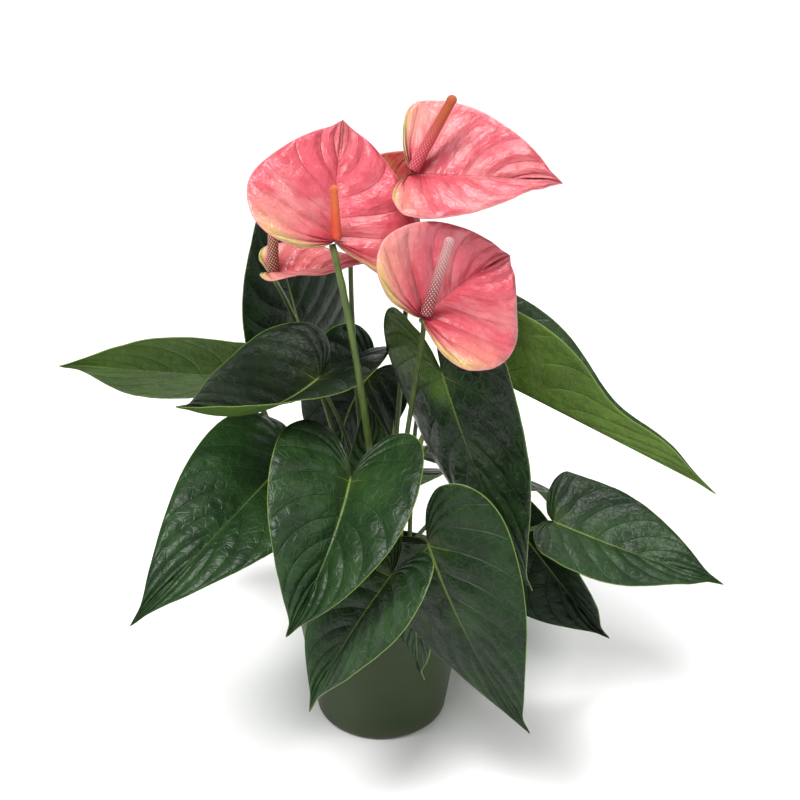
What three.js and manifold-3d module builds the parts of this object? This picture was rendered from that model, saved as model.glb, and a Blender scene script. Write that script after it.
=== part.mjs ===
// A potted anthurium: a tapered plastic nursery pot with drain holes, its soil, heart-shaped
// leaves on petioles, and flowers, each of a spathe and a spadix on a peduncle.
// Millimetres, +Z up, the origin at the middle of the pot's underside.
import * as THREE from 'three';
import Module from 'manifold-3d';
import { mergeVertices } from 'three/addons/utils/BufferGeometryUtils.js';

// ---- The pot and its soil ----
const POT_HEIGHT = 105;
const POT_RIM_RADIUS = 60;
const POT_BASE_RADIUS = 44;
const POT_WALL = 1.4;
const POT_FLOOR = 2;
const POT_EDGE = 5;               // rounding where the wall meets the floor
const RIM_BAND_HEIGHT = 12;
const RIM_BAND_STEP = 1.6;        // how far the rim band stands proud of the wall
const DRAIN_HOLES = 8;
const DRAIN_HOLE_RADIUS = 4;
const HEADSPACE = 13;             // from the rim down to the soil
const SOIL_MOUND = 3;             // how much higher the soil is at its middle
const SEAT_GAP = 0.3;             // between pieces that touch

// ---- The plant ----
const BLADE_THICKNESS = 1.0;
const SPATHE_THICKNESS = 1.2;
const FOOT_SPACING = 4.2;         // scale of the spiral on which the stems stand
const GOLDEN_ANGLE = 137.5;
const PETIOLE_RADIUS = 1.5;
const SPADIX_TAPER = 0.72;        // tip radius over foot radius

// ---- Fineness ----
const LATHE_SEGMENTS = 40;
const OUTLINE_ROWS = 12;
const BLADE_COLUMNS = 3;
const STEM_SIDES = 6;
const STEM_STEPS = 10;

// Half outlines, from the sinus round the lobe to the tip: [along / length, out / half width].
const LEAF_OUTLINE = [
  [0, 0], [-0.09, 0.05], [-0.19, 0.16], [-0.27, 0.42], [-0.245, 0.74], [-0.09, 0.97],
  [0.14, 1.0], [0.38, 0.87], [0.60, 0.62], [0.79, 0.32], [0.91, 0.11], [1, 0],
];
const SPATHE_OUTLINE = [
  [0, 0], [-0.05, 0.06], [-0.13, 0.20], [-0.20, 0.47], [-0.18, 0.79], [-0.03, 0.98],
  [0.18, 1.0], [0.42, 0.86], [0.66, 0.60], [0.85, 0.31], [0.95, 0.11], [1, 0],
];
const LOBE_SHARE = 0.38;          // share of the outline that runs round the lobe

// Each blade: at is its base, from the middle of the soil's top, and a low one's counts from the
// rim. heading, pitch and roll turn it there: heading 0 points along +X and 90 along +Y, a positive
// pitch lifts the tip, and a positive roll lifts its left side. fold, arch and lobes are [left, right]: the angle at which a side leaves
// the midrib, how far it bends back down on its way out, and the length of its back lobe as a share
// of the outline's. droop bends the midrib down, sway bends it to the left and twist turns the sides
// round it, all counted from base to tip. slim narrows the outer half. foot is the stem's place on
// the spiral and stem its [heading, slope] where it meets the blade. rise and reach are how long it
// holds its first and last direction, over its span.
const LEAVES = [
  {
    name: 'front', at: [-17, -72, 123], heading: -99, pitch: -23, roll: -25, length: 101, width: 105,
    fold: [58, 25], arch: [10, 26], droop: 54, sway: -8, twist: -3,
    foot: 15, stem: [-100, 40], rise: 0.12, reach: 0.12,
  },
  {
    name: 'left_low', at: [-61, -5, 99], heading: -107, pitch: 6, roll: -29, length: 154, width: 101,
    fold: [31, 4], arch: [20, 17], droop: 67, sway: -10, twist: 4, lobes: [0.5, 1],
    foot: 17, stem: [-180, 60], rise: 0.55, reach: 0.12,
  },
  {
    name: 'left_folded', at: [-39, -5, 158], heading: -120, pitch: -5, roll: 2, length: 139, width: 97,
    fold: [27, 41], arch: [13, 25], droop: -42, sway: -3, twist: 2,
    foot: 12, stem: [-160, 60], rise: 0.25, reach: 0.45,
  },
  {
    name: 'far_left', at: [-68, 55, 129], heading: -150, pitch: 18, roll: 40, length: 155, width: 111,
    fold: [12, 13], arch: [36, 6], droop: 2, sway: 3, twist: 32, lobes: [0.2, 0.2],
    foot: 9, stem: [20, 40], rise: 0.12, reach: 0.45,
  },
  {
    name: 'upright_left', at: [-55, 103, 136], heading: 68, pitch: 111, roll: 54, length: 117, width: 97,
    fold: [22, -12], arch: [10, 12], droop: 37, sway: -12, twist: -14, lobes: [0.2, 1],
    foot: 14, stem: [-20, 15], rise: 0.12, reach: 0.6,
  },
  {
    name: 'centre', at: [-8, 60, 129], heading: -167, pitch: -52, roll: -8, length: 82, width: 91,
    fold: [1, 43], arch: [29, 20], droop: 56, sway: -10, twist: -20,
    foot: 6, stem: [100, 60], rise: 0.12, reach: 0.12,
  },
  {
    name: 'young', at: [-5, -19, 99], heading: 100, pitch: 75, roll: 0, length: 46, width: 36,
    fold: [35, 35], arch: [15, 15], droop: 5, sway: 0, twist: 0,
    foot: 7, stem: [-90, 83], rise: 0.4, reach: 0.3, radius: 1.1,
  },
  {
    name: 'right_hanging', at: [39, -34, 176], heading: -26, pitch: -71, roll: 97, length: 159, width: 110,
    fold: [16, -4], arch: [13, 34], droop: 12, sway: 2, twist: 6,
    foot: 21, stem: [-80, 15], rise: 0.4, reach: 0.6,
  },
  {
    name: 'far_right', at: [51, -5, 171], heading: -7, pitch: -26, roll: -6, length: 178, width: 111,
    fold: [62, 70], arch: [10, 4], droop: -1, sway: -6, twist: -1, slim: 0.42, lobes: [0.7, 0.7],
    foot: 16, stem: [-40, 77], rise: 0.7, reach: 0.6,
  },
  {
    name: 'right_low', at: [POT_RIM_RADIUS + 55, 0, 51],
    heading: -15, pitch: -18, roll: 5, length: 114, width: 96,
    fold: [18, 18], arch: [11, 14], droop: -9, sway: -1, twist: 22, lobes: [0.35, 0.35],
    foot: 13, stem: [-60, 15], rise: 0.12, reach: 0.12,
  },
  {
    name: 'right_shaded', at: [POT_RIM_RADIUS + 33, 45, 25],
    heading: -32, pitch: -47, roll: 75, length: 107, width: 96,
    fold: [49, 26], arch: [11, 18], droop: 17, sway: -1, twist: -4, lobes: [0.6, 0.6],
    foot: 29, stem: [-180, -10], rise: 0.55, reach: 0.12,
  },
  {
    name: 'front_right', at: [30, -POT_RIM_RADIUS - 38, 95],
    heading: -34, pitch: -68, roll: 83, length: 133, width: 107,
    fold: [8, -2], arch: [22, 24], droop: 8, sway: 15, twist: 5, lobes: [1, 0.2],
    foot: 18, stem: [-80, 15], rise: 0.12, reach: 0.45,
  },
  {
    name: 'front_left', at: [8, -POT_RIM_RADIUS - 42, 75],
    heading: -154, pitch: -48, roll: -9, length: 97, width: 84,
    fold: [27, 28], arch: [25, 20], droop: 16, sway: 0, twist: -2,
    foot: 23, stem: [-40, 40], rise: 0.12, reach: 0.3,
  },
  {
    name: 'front_small', at: [26, -POT_RIM_RADIUS - 6, 41],
    heading: -117, pitch: -69, roll: 27, length: 59, width: 51,
    fold: [11, 11], arch: [18, 12], droop: 25, sway: 1, twist: 7,
    foot: 31, stem: [-80, -10], rise: 0.55, reach: 0.12, radius: 1.2,
  },
  {
    name: 'back_left', at: [-POT_RIM_RADIUS - 14, POT_RIM_RADIUS + 16, 50],
    heading: 145, pitch: -25, roll: 0, length: 125, width: 90,
    fold: [15, 15], arch: [25, 25], droop: 35, sway: 0, twist: 0,
    foot: 22, stem: [80, 15], rise: 0.12, reach: 0.12,
  },
  {
    name: 'back', at: [5, POT_RIM_RADIUS + 28, 38], heading: 88, pitch: -25, roll: 0, length: 130, width: 94,
    fold: [15, 15], arch: [25, 25], droop: 30, sway: 0, twist: 0,
    foot: 19, stem: [20, 15], rise: 0.12, reach: 0.12,
  },
  {
    name: 'back_right', at: [POT_RIM_RADIUS + 2, POT_RIM_RADIUS + 18, 48],
    heading: 42, pitch: -20, roll: 0, length: 125, width: 88,
    fold: [15, 15], arch: [25, 25], droop: 35, sway: 0, twist: 0,
    foot: 11, stem: [100, 15], rise: 0.12, reach: 0.12,
  },
];

// Each flower: its spathe is a blade of its own outline, and spadix gives the spadix's length, its
// radius at the foot and its [heading, pitch].
const FLOWERS = [
  {
    name: 'first', at: [-24, -62, 272], heading: 91, pitch: 32, roll: 25, length: 82, width: 115,
    fold: [20, 14], arch: [17, 32], droop: -11, sway: -2, twist: -13,
    foot: 2, stem: [120, 60], rise: 0.12, reach: 0.3, radius: 2.2,
    spadix: { length: 31, radius: 3.1, heading: 180, pitch: 88 },
  },
  {
    name: 'second', at: [21, -5, 292], heading: -7, pitch: 0, roll: 20, length: 85, width: 99,
    fold: [29, 30], arch: [6, 37], droop: 4, sway: 4, twist: 10, lobes: [0.5, 0.5],
    foot: 0, stem: [-80, 77], rise: 0.12, reach: 0.6, radius: 1.7,
    spadix: { length: 50, radius: 3.9, heading: 0, pitch: 62 },
  },
  {
    name: 'third', at: [26, -76, 231], heading: 57, pitch: 12, roll: 36, length: 84, width: 103,
    fold: [32, 24], arch: [1, 23], droop: 0, sway: -12, twist: 18,
    foot: 5, stem: [-100, 15], rise: 0.4, reach: 0.2, radius: 1.7,
    spadix: { length: 48, radius: 3.7, heading: 0, pitch: 74 },
  },
  {
    name: 'fourth', at: [-65, 5, 225], heading: 6, pitch: 0, roll: -3, length: 58, width: 63,
    fold: [25, 26], arch: [11, 23], droop: -12, sway: 0, twist: 5, lobes: [0.7, 0.7],
    foot: 4, stem: [-100, 40], rise: 0.12, reach: 0.6, radius: 1.6,
    spadix: { length: 44, radius: 3.9, heading: 0, pitch: 88 },
  },
  {
    name: 'fifth', at: [-19, 26, 240], heading: 20, pitch: 45, roll: -80, length: 76, width: 84,
    fold: [15, 15], arch: [15, 15], droop: 10, sway: 0, twist: 0, lobes: [0.3, 0.3],
    foot: 1, stem: [0, 89], rise: 0.12, reach: 0.4, radius: 1.7,
    spadix: { length: 42, radius: 3.6, heading: 100, pitch: 30 },
  },
];

// Rolled young leaves that still stand as shoots: where each tip is, and its foot on the spiral.
const SHOOTS = [
  { name: 'left', tip: [9, -9, 132], foot: 10, radius: 1.4 },
  { name: 'right', tip: [31, 6, 124], foot: 8, radius: 1.8 },
];

// ---- Derived places ----
const SOIL_TOP = POT_HEIGHT - HEADSPACE;
const radians = THREE.MathUtils.degToRad;
const BAND_FOOT = POT_HEIGHT - RIM_BAND_HEIGHT;
const wallRadius = (z) => POT_BASE_RADIUS
  + (POT_RIM_RADIUS - RIM_BAND_STEP - POT_BASE_RADIUS) * (z / BAND_FOOT);

// The wall's inner face runs straight from the rounding up to the ledge behind the rim band.
const innerRadius = (z) => {
  const share = (z - POT_EDGE) / (BAND_FOOT + POT_WALL - POT_EDGE);
  return wallRadius(POT_EDGE) - POT_WALL + (wallRadius(BAND_FOOT) - wallRadius(POT_EDGE)) * share;
};

// ---- Colours and finishes ----
const finish = (color, roughness) => new THREE.MeshStandardMaterial({ color, roughness, metalness: 0 });
const POT_PLASTIC = finish('#30372a', 0.5);
const SOIL = finish('#3a2c20', 0.95);
const LEAF_GREEN = finish('#2a4a2c', 0.42);
const STEM_GREEN = finish('#5a7a2a', 0.5);
const SPATHE_PINK = finish('#e58089', 0.35);
const SPADIX_ORANGE = finish('#c8703f', 0.6);
const SHOOT_GREEN = finish('#8a9a40', 0.55);

const plant = new THREE.Group();
plant.position.z = SOIL_TOP + SOIL_MOUND;
const anthurium = new THREE.Group();
anthurium.add(plant);

function add(group, name, geometry, material) {
  const mesh = new THREE.Mesh(geometry, material);
  mesh.name = name;
  group.add(mesh);
  return mesh;
}

// ---- Booleans, for the pot's drain holes ----
const wasm = await Module();
wasm.setup();

function toManifold(geometry) {
  const bare = geometry.clone();
  bare.deleteAttribute('normal');
  bare.deleteAttribute('uv');
  const merged = mergeVertices(bare, 1e-4);
  return new wasm.Manifold(new wasm.Mesh({
    numProp: 3,
    vertProperties: Float32Array.from(merged.attributes.position.array),
    triVerts: Uint32Array.from(merged.index.array),
  }));
}

function toGeometry(solid) {
  const mesh = solid.getMesh();
  const geometry = new THREE.BufferGeometry();
  geometry.setAttribute('position', new THREE.BufferAttribute(mesh.vertProperties, mesh.numProp));
  geometry.setIndex(new THREE.BufferAttribute(mesh.triVerts, 1));
  geometry.computeVertexNormals();
  return geometry;
}

// A body turned about +Z from a closed profile of [radius, height] points.
function turned(profile, segments = LATHE_SEGMENTS) {
  const geometry = new THREE.LatheGeometry(profile.map(([r, z]) => new THREE.Vector2(r, z)), segments);
  return geometry.rotateX(Math.PI / 2);
}

// ---- Pot: one moulded shell, its rim band standing proud, with a ring of drain holes ----
function potGeometry() {
  const profile = [[0, 0]];
  for (let i = 0; i <= 4; i += 1) {
    const angle = (i / 4) * (Math.PI / 2);
    profile.push([
      wallRadius(POT_EDGE) - POT_EDGE * (1 - Math.sin(angle)),
      POT_EDGE * (1 - Math.cos(angle)),
    ]);
  }
  profile.push(
    [wallRadius(BAND_FOOT), BAND_FOOT],
    [POT_RIM_RADIUS, BAND_FOOT],
    [POT_RIM_RADIUS, POT_HEIGHT],
    [POT_RIM_RADIUS - POT_WALL, POT_HEIGHT],
    [POT_RIM_RADIUS - POT_WALL, BAND_FOOT + POT_WALL],
    [wallRadius(BAND_FOOT) - POT_WALL, BAND_FOOT + POT_WALL],
    [wallRadius(POT_EDGE) - POT_WALL, POT_EDGE],
    [wallRadius(POT_EDGE) - POT_EDGE, POT_FLOOR],
    [0, POT_FLOOR],
  );
  let pot = toManifold(turned(profile));
  const ring = wallRadius(POT_EDGE) - POT_EDGE - DRAIN_HOLE_RADIUS * 1.5;
  for (let i = 0; i < DRAIN_HOLES; i += 1) {
    const angle = ((i + 0.5) / DRAIN_HOLES) * 2 * Math.PI;
    const drill = new THREE.CylinderGeometry(DRAIN_HOLE_RADIUS, DRAIN_HOLE_RADIUS, POT_FLOOR * 4, 16);
    drill.rotateX(Math.PI / 2);
    drill.translate(ring * Math.cos(angle), ring * Math.sin(angle), POT_FLOOR / 2);
    pot = pot.subtract(toManifold(drill));
  }
  return toGeometry(pot);
}
add(anthurium, 'pot', potGeometry(), POT_PLASTIC);

// ---- Soil: fills the pot up to the headspace, a little higher at its middle ----
function soilGeometry() {
  const foot = POT_FLOOR + SEAT_GAP;
  const inside = (z) => innerRadius(z) - SEAT_GAP;
  return turned([
    [0, foot],
    [inside(POT_EDGE) - POT_EDGE, foot],
    [inside(POT_EDGE), POT_EDGE + SEAT_GAP],
    [inside(SOIL_TOP), SOIL_TOP],
    [inside(SOIL_TOP) * 0.5, SOIL_TOP + SOIL_MOUND * 0.7],
    [0, SOIL_TOP + SOIL_MOUND],
  ]);
}
add(anthurium, 'soil', soilGeometry(), SOIL);

// How far the soil's top lies below its middle at a distance from the axis.
function soilDrop(radius) {
  const half = (innerRadius(SOIL_TOP) - SEAT_GAP) * 0.5;
  if (radius < half) return (radius / half) * SOIL_MOUND * 0.3;
  return SOIL_MOUND * 0.3 + ((radius - half) / half) * SOIL_MOUND * 0.7;
}

// ---- Blades ----
// A point of a Catmull-Rom spline through the outline's points, t from 0 to 1.
function outlinePoint(outline, t) {
  const last = outline.length - 1;
  const at = (i) => {
    if (i < 0) return outline[0].map((v, k) => 2 * v - outline[1][k]);
    if (i > last) return outline[last].map((v, k) => 2 * v - outline[last - 1][k]);
    return outline[i];
  };
  const s = Math.min(t * last, last - 1e-9);
  const i = Math.floor(s);
  const f = s - i;
  const [a, b, c, d] = [at(i - 1), at(i), at(i + 1), at(i + 2)];
  return [0, 1].map((k) => 0.5 * (2 * b[k] + (c[k] - a[k]) * f
    + (2 * a[k] - 5 * b[k] + 4 * c[k] - d[k]) * f ** 2
    + (3 * b[k] - a[k] - 3 * c[k] + d[k]) * f ** 3));
}

// A curve of unit length per s that starts at an angle and turns evenly: [along, up].
function bend(s, start, turn) {
  const even = Math.abs(turn) < 1e-4 ? 1e-4 : turn;
  return [
    (Math.sin(start + even * s) - Math.sin(start)) / even,
    -(Math.cos(start + even * s) - Math.cos(start)) / even,
  ];
}

// A blade's flat point, x along the midrib and y out on a side (1 left, -1 right), in its bent form.
function bladePoint(blade, x, y, side) {
  const half = blade.width / 2;
  const u = x / blade.length;
  const ahead = Math.max(u, 0);
  const droop = radians(blade.droop);
  const [alongShare, upShare] = bend(ahead, 0, -droop);
  const slope = -droop * ahead;
  const pick = side > 0 ? 0 : 1;
  const slim = 1 - (blade.slim ?? 0) * Math.exp(-(((u - 0.6) / 0.22) ** 2));
  const [outShare, liftShare] = bend(
    (y * slim) / half, radians(blade.fold[pick]), -radians(blade.arch[pick]),
  );
  const out = side * outShare * half;
  const lift = liftShare * half;
  const twist = radians(blade.twist) * ahead;
  const across = out * Math.cos(twist) - lift * Math.sin(twist);
  const above = out * Math.sin(twist) + lift * Math.cos(twist);
  return new THREE.Vector3(
    alongShare * blade.length + Math.min(x, 0) - above * Math.sin(slope),
    across + blade.length * (radians(blade.sway) / 2) * ahead ** 2,
    upShare * blade.length + above * Math.cos(slope),
  );
}

// The upper side's normal, from small steps along and across.
function bladeNormal(blade, x, y, side) {
  const step = 0.2;
  const along = bladePoint(blade, x + step, y, side).sub(bladePoint(blade, x - step, y, side));
  const inner = Math.max(y - step, 0);
  const across = bladePoint(blade, x, y + step, side).sub(bladePoint(blade, x, inner, side));
  return along.cross(across).multiplyScalar(side).normalize();
}

// A closed shell of even thickness about a sheet of points with normals.
function thicken(points, normals, triangles, thickness) {
  const count = points.length;
  const positions = [];
  for (const share of [0.5, -0.5]) {
    points.forEach((p, i) => {
      positions.push(...p.clone().addScaledVector(normals[i], share * thickness).toArray());
    });
  }
  const index = [];
  const edges = new Set();
  for (const [a, b, c] of triangles) {
    index.push(a, b, c, a + count, c + count, b + count);
    for (const edge of [[a, b], [b, c], [c, a]]) edges.add(edge.join());
  }
  for (const edge of edges) {
    const [a, b] = edge.split(',').map(Number);
    if (!edges.has(`${b},${a}`)) index.push(b, a, a + count, b, a + count, b + count);
  }
  const geometry = new THREE.BufferGeometry();
  geometry.setAttribute('position', new THREE.Float32BufferAttribute(positions, 3));
  geometry.setIndex(index);
  geometry.computeVertexNormals();
  return geometry;
}

// Rows run from the midrib out to the margin: as a fan round the base over each lobe, then as a
// ladder along the midrib to the tip. The two sides share the base, the midrib and the tip.
function bladeGeometry(blade, outline, thickness) {
  const points = [];
  const normals = [];
  const seen = new Map();
  const vertex = (key, x, y, side) => {
    if (!seen.has(key)) {
      seen.set(key, points.length);
      points.push(bladePoint(blade, x, y, side));
      const normal = bladeNormal(blade, x, y, side);
      if (y === 0) normal.add(bladeNormal(blade, x, y, -side)).normalize();
      normals.push(normal);
    }
    return seen.get(key);
  };
  const triangles = [];
  const face = (side, a, b, c) => {
    if (a !== b && b !== c && c !== a) triangles.push(side > 0 ? [a, b, c] : [a, c, b]);
  };
  for (const side of [1, -1]) {
    const rows = [];
    for (let i = 1; i <= OUTLINE_ROWS; i += 1) {
      const t = i / OUTLINE_ROWS;
      const footShare = Math.max((t - LOBE_SHARE) / (1 - LOBE_SHARE), 0);
      const [flat, out] = outlinePoint(outline, t);
      const along = flat < 0 ? flat * (blade.lobes?.[side > 0 ? 0 : 1] ?? 1) : flat;
      const row = [vertex(`rib ${footShare.toFixed(4)}`, footShare * blade.length, 0, side)];
      for (let j = 1; j <= BLADE_COLUMNS; j += 1) {
        const share = j / BLADE_COLUMNS;
        const x = (footShare + (along - footShare) * share) * blade.length;
        const y = (out * share * blade.width) / 2;
        row.push(i === OUTLINE_ROWS ? row[0] : vertex(`${side} ${i} ${j}`, x, y, side));
      }
      rows.push(row);
    }
    for (let i = 0; i + 1 < rows.length; i += 1) {
      for (let j = 0; j < BLADE_COLUMNS; j += 1) {
        face(side, rows[i][j], rows[i + 1][j], rows[i + 1][j + 1]);
        face(side, rows[i][j], rows[i + 1][j + 1], rows[i][j + 1]);
      }
    }
  }
  return thicken(points, normals, triangles, thickness);
}

const bladeTurn = ({ heading, pitch, roll }) => (
  new THREE.Euler(radians(roll), -radians(pitch), radians(heading), 'ZYX'));

function addBlade(blade, name, outline, thickness, material) {
  const mesh = add(plant, name, bladeGeometry(blade, outline, thickness), material);
  mesh.position.set(...blade.at);
  mesh.rotation.copy(bladeTurn(blade));
}

// ---- Stems ----
// A stem's foot on the soil: stems stand on a spiral like a sunflower's.
function stemFoot(place) {
  const radius = FOOT_SPACING * Math.sqrt(place + 0.5);
  const angle = radians(GOLDEN_ANGLE * place);
  return new THREE.Vector3(
    radius * Math.cos(angle), radius * Math.sin(angle), SEAT_GAP - soilDrop(radius),
  );
}

function tubeGeometry(curve, radius) {
  const section = new THREE.Shape().absarc(0, 0, radius, 0, 2 * Math.PI);
  return new THREE.ExtrudeGeometry(section, {
    extrudePath: curve, steps: STEM_STEPS, curveSegments: STEM_SIDES / 2, bevelEnabled: false,
  });
}

// A direction from a heading and a slope, both in degrees.
function direction(heading, slope) {
  const flat = Math.cos(radians(slope));
  return new THREE.Vector3(
    flat * Math.cos(radians(heading)), flat * Math.sin(radians(heading)), Math.sin(radians(slope)),
  );
}

// A stem leaves its foot upwards and meets the blade's underside at the blade's base.
function stemCurve(blade, thickness, radius) {
  const foot = stemFoot(blade.foot);
  const base = new THREE.Vector3(...blade.at);
  const arrival = direction(...blade.stem);
  const up = new THREE.Vector3(0, 0, 1).applyEuler(bladeTurn(blade));
  const slant = Math.sqrt(Math.max(1 - arrival.dot(up) ** 2, 0));
  const end = base.clone().addScaledVector(up, -(thickness / 2 + SEAT_GAP + radius * slant));
  const span = end.distanceTo(foot);
  return new THREE.CubicBezierCurve3(
    foot,
    foot.clone().add(new THREE.Vector3(0, 0, span * blade.rise)),
    end.clone().addScaledVector(arrival, -span * blade.reach),
    end,
  );
}

for (const leaf of LEAVES) {
  const radius = leaf.radius ?? PETIOLE_RADIUS;
  addBlade(leaf, `leaf_${leaf.name}`, LEAF_OUTLINE, BLADE_THICKNESS, LEAF_GREEN);
  add(plant, `petiole_${leaf.name}`, tubeGeometry(stemCurve(leaf, BLADE_THICKNESS, radius), radius),
    STEM_GREEN);
}

// ---- Flowers ----
// A spadix: a tapered rod with a round top, standing on the spathe's upper side at its base.
function addSpadix(flower) {
  const { length, radius, heading, pitch } = flower.spadix;
  const tip = radius * SPADIX_TAPER;
  const profile = [[0, 0], [radius * 0.85, 0], [radius, length * 0.12], [tip, length - tip]];
  for (const angle of [30, 60]) {
    profile.push([tip * Math.cos(radians(angle)), length - tip + tip * Math.sin(radians(angle))]);
  }
  profile.push([0, length]);
  const mesh = add(plant, `spadix_${flower.name}`, turned(profile, 10), SPADIX_ORANGE);
  const axis = direction(heading, pitch);
  const up = new THREE.Vector3(0, 0, 1).applyEuler(bladeTurn(flower));
  const slant = Math.sqrt(Math.max(1 - axis.dot(up) ** 2, 0));
  mesh.quaternion.setFromUnitVectors(new THREE.Vector3(0, 0, 1), axis);
  mesh.position.set(...flower.at);
  const sides = Math.sin(radians(Math.max(...flower.fold)));
  mesh.position.addScaledVector(up, SPATHE_THICKNESS / 2 + SEAT_GAP + radius * 0.85 * (slant + sides));
}

for (const flower of FLOWERS) {
  addBlade(flower, `spathe_${flower.name}`, SPATHE_OUTLINE, SPATHE_THICKNESS, SPATHE_PINK);
  add(plant, `peduncle_${flower.name}`,
    tubeGeometry(stemCurve(flower, SPATHE_THICKNESS, flower.radius), flower.radius), STEM_GREEN);
  addSpadix(flower);
}

// ---- Shoots ----
for (const shoot of SHOOTS) {
  const foot = stemFoot(shoot.foot);
  const tip = new THREE.Vector3(...shoot.tip);
  const middle = foot.clone().lerp(tip, 0.5);
  middle.x = foot.x;
  middle.y = foot.y;
  const curve = new THREE.QuadraticBezierCurve3(foot, middle, tip);
  add(plant, `shoot_${shoot.name}`, tubeGeometry(curve, shoot.radius), SHOOT_GREEN);
}

export default anthurium;
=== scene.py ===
"""A potted anthurium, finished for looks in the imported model's own frame.

Leaves and spathes are bent sheets worked out from an outline, a fold across and a droop along.
Stems are tubes on smooth curves, spadices are beaded rods, and the pot and soil are turned bodies.
Lengths in the tables are millimetres above the middle of the soil; the meshes are in metres.
"""

import logging
import math
from dataclasses import dataclass
from enum import Enum
from typing import Any, Callable

import bmesh
import bpy
import numpy as np
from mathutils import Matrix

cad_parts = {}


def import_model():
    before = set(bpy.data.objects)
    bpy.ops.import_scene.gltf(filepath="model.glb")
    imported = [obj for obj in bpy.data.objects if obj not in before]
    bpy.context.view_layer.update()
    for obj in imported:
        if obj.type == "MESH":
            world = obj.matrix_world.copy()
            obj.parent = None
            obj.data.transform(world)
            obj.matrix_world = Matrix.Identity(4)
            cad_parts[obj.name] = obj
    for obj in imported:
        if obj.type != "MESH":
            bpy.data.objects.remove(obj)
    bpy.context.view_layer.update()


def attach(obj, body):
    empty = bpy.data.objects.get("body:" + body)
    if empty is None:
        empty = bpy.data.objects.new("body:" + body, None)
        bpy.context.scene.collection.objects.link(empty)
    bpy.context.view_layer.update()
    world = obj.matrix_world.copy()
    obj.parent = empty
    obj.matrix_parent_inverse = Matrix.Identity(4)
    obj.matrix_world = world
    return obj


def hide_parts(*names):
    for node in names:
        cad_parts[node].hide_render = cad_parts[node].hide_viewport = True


LOG = logging.getLogger("anthurium")
MM = 0.001
SLIVER = 0.00002
RIPPLE_WAVES = 11
RIPPLE_SHORTER = 0.84
RIPPLE_LOWER = 0.9
RIPPLE_SUM = 3.4
BODY = "root"
Pair = tuple[float, float]
Triple = tuple[float, float, float]
Array = np.ndarray


# ---- Numbers and shapes ----
def smooth(low: float, high: float, value: Array) -> Array:
    """Smooth step from 0 at low to 1 at high.

    Args:
        low: where the step starts.
        high: where the step ends.
        value: the numbers to map.

    Returns:
        3s^2 - 2s^3 of the clamped share s of the way from low to high.
    """
    share = np.clip((value - low) / (high - low), 0.0, 1.0)
    return share * share * (3.0 - 2.0 * share)


def spline(points: Array, t: Array) -> Array:
    """Points of a Catmull-Rom spline through control points.

    Args:
        points: control points, one row each.
        t: parameters from 0 at the first point to 1 at the last.

    Returns:
        One row for each t, by the cubic whose tangents are half the chord of the neighbours.
    """
    last = len(points) - 1
    padded = np.vstack([2 * points[0] - points[1], points, 2 * points[-1] - points[-2]])
    s = np.minimum(t * last, last - 1e-9)
    i = np.floor(s).astype(int)
    f = (s - i)[:, None]
    a, b, c, d = (padded[i + k] for k in range(4))
    return 0.5 * (
        2 * b + (c - a) * f + (2 * a - 5 * b + 4 * c - d) * f**2 + (3 * b - a - 3 * c + d) * f**3
    )


def bend(s: Array, start: Array | float, turn: Array | float) -> tuple[Array, Array]:
    """A curve of unit length per s that starts at an angle and turns evenly.

    Args:
        s: length along the curve.
        start: its first angle, in radians.
        turn: how far it turns by s = 1, in radians.

    Returns:
        How far it has come along and up: the integrals of the cosine and sine of the angle.
    """
    even = np.where(np.abs(turn) < 1e-4, 1e-4, turn)
    along = (np.sin(start + even * s) - np.sin(start)) / even
    up = -(np.cos(start + even * s) - np.cos(start)) / even
    return along, up


def direction(heading: float, slope: float) -> Array:
    """The unit vector of a heading from +X and a slope above the level, in degrees."""
    h, v = math.radians(heading), math.radians(slope)
    return np.array([math.cos(v) * math.cos(h), math.cos(v) * math.sin(h), math.sin(v)])


def turn_matrix(heading: float, pitch: float, roll: float) -> Array:
    """Rotation that rolls about X, lifts the nose about Y, then heads about Z.

    Args:
        heading: degrees about Z.
        pitch: degrees by which +X is lifted.
        roll: degrees by which +Y is lifted.

    Returns:
        The 3 by 3 product Rz(heading) Ry(-pitch) Rx(roll).
    """
    h, p, r = math.radians(heading), math.radians(-pitch), math.radians(roll)
    rz = np.array([[math.cos(h), -math.sin(h), 0], [math.sin(h), math.cos(h), 0], [0, 0, 1]])
    ry = np.array([[math.cos(p), 0, math.sin(p)], [0, 1, 0], [-math.sin(p), 0, math.cos(p)]])
    rx = np.array([[1, 0, 0], [0, math.cos(r), -math.sin(r)], [0, math.sin(r), math.cos(r)]])
    return rz @ ry @ rx


def ripple(x: Array, y: Array, size: float, seed: int) -> Array:
    """A smooth random height over a plane, the sum of sine waves in random directions.

    Each wave is RIPPLE_SHORTER of the last one's length and RIPPLE_LOWER of its height.

    Args:
        x: first coordinate.
        y: second coordinate.
        size: the longest wave, in the units of x and y.
        seed: chooses the waves.

    Returns:
        Heights between about -1 and 1.
    """
    rng = np.random.default_rng(seed)
    total = np.zeros_like(x, dtype=float)
    for k in range(RIPPLE_WAVES):
        wave = size * RIPPLE_SHORTER**k
        angle, phase = rng.uniform(0, 2 * math.pi, 2)
        along = x * math.cos(angle) + y * math.sin(angle)
        total += np.sin(along * 2 * math.pi / wave + phase) * RIPPLE_LOWER**k
    return total / RIPPLE_SUM


def grid_quads(rows: int, columns: int, wrap: bool = False) -> Array:
    """Corner numbers of a grid's quads.

    Args:
        rows: points down the grid.
        columns: points across it.
        wrap: joins the last column to the first.

    Returns:
        One row of four corners for each quad.
    """
    across = columns if wrap else columns - 1
    i, j = np.meshgrid(np.arange(rows - 1), np.arange(across), indexing="ij")
    i, j = i.ravel(), j.ravel()
    k = (j + 1) % columns
    near, far = i * columns, (i + 1) * columns
    return np.stack([near + j, near + k, far + k, far + j], 1)


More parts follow.
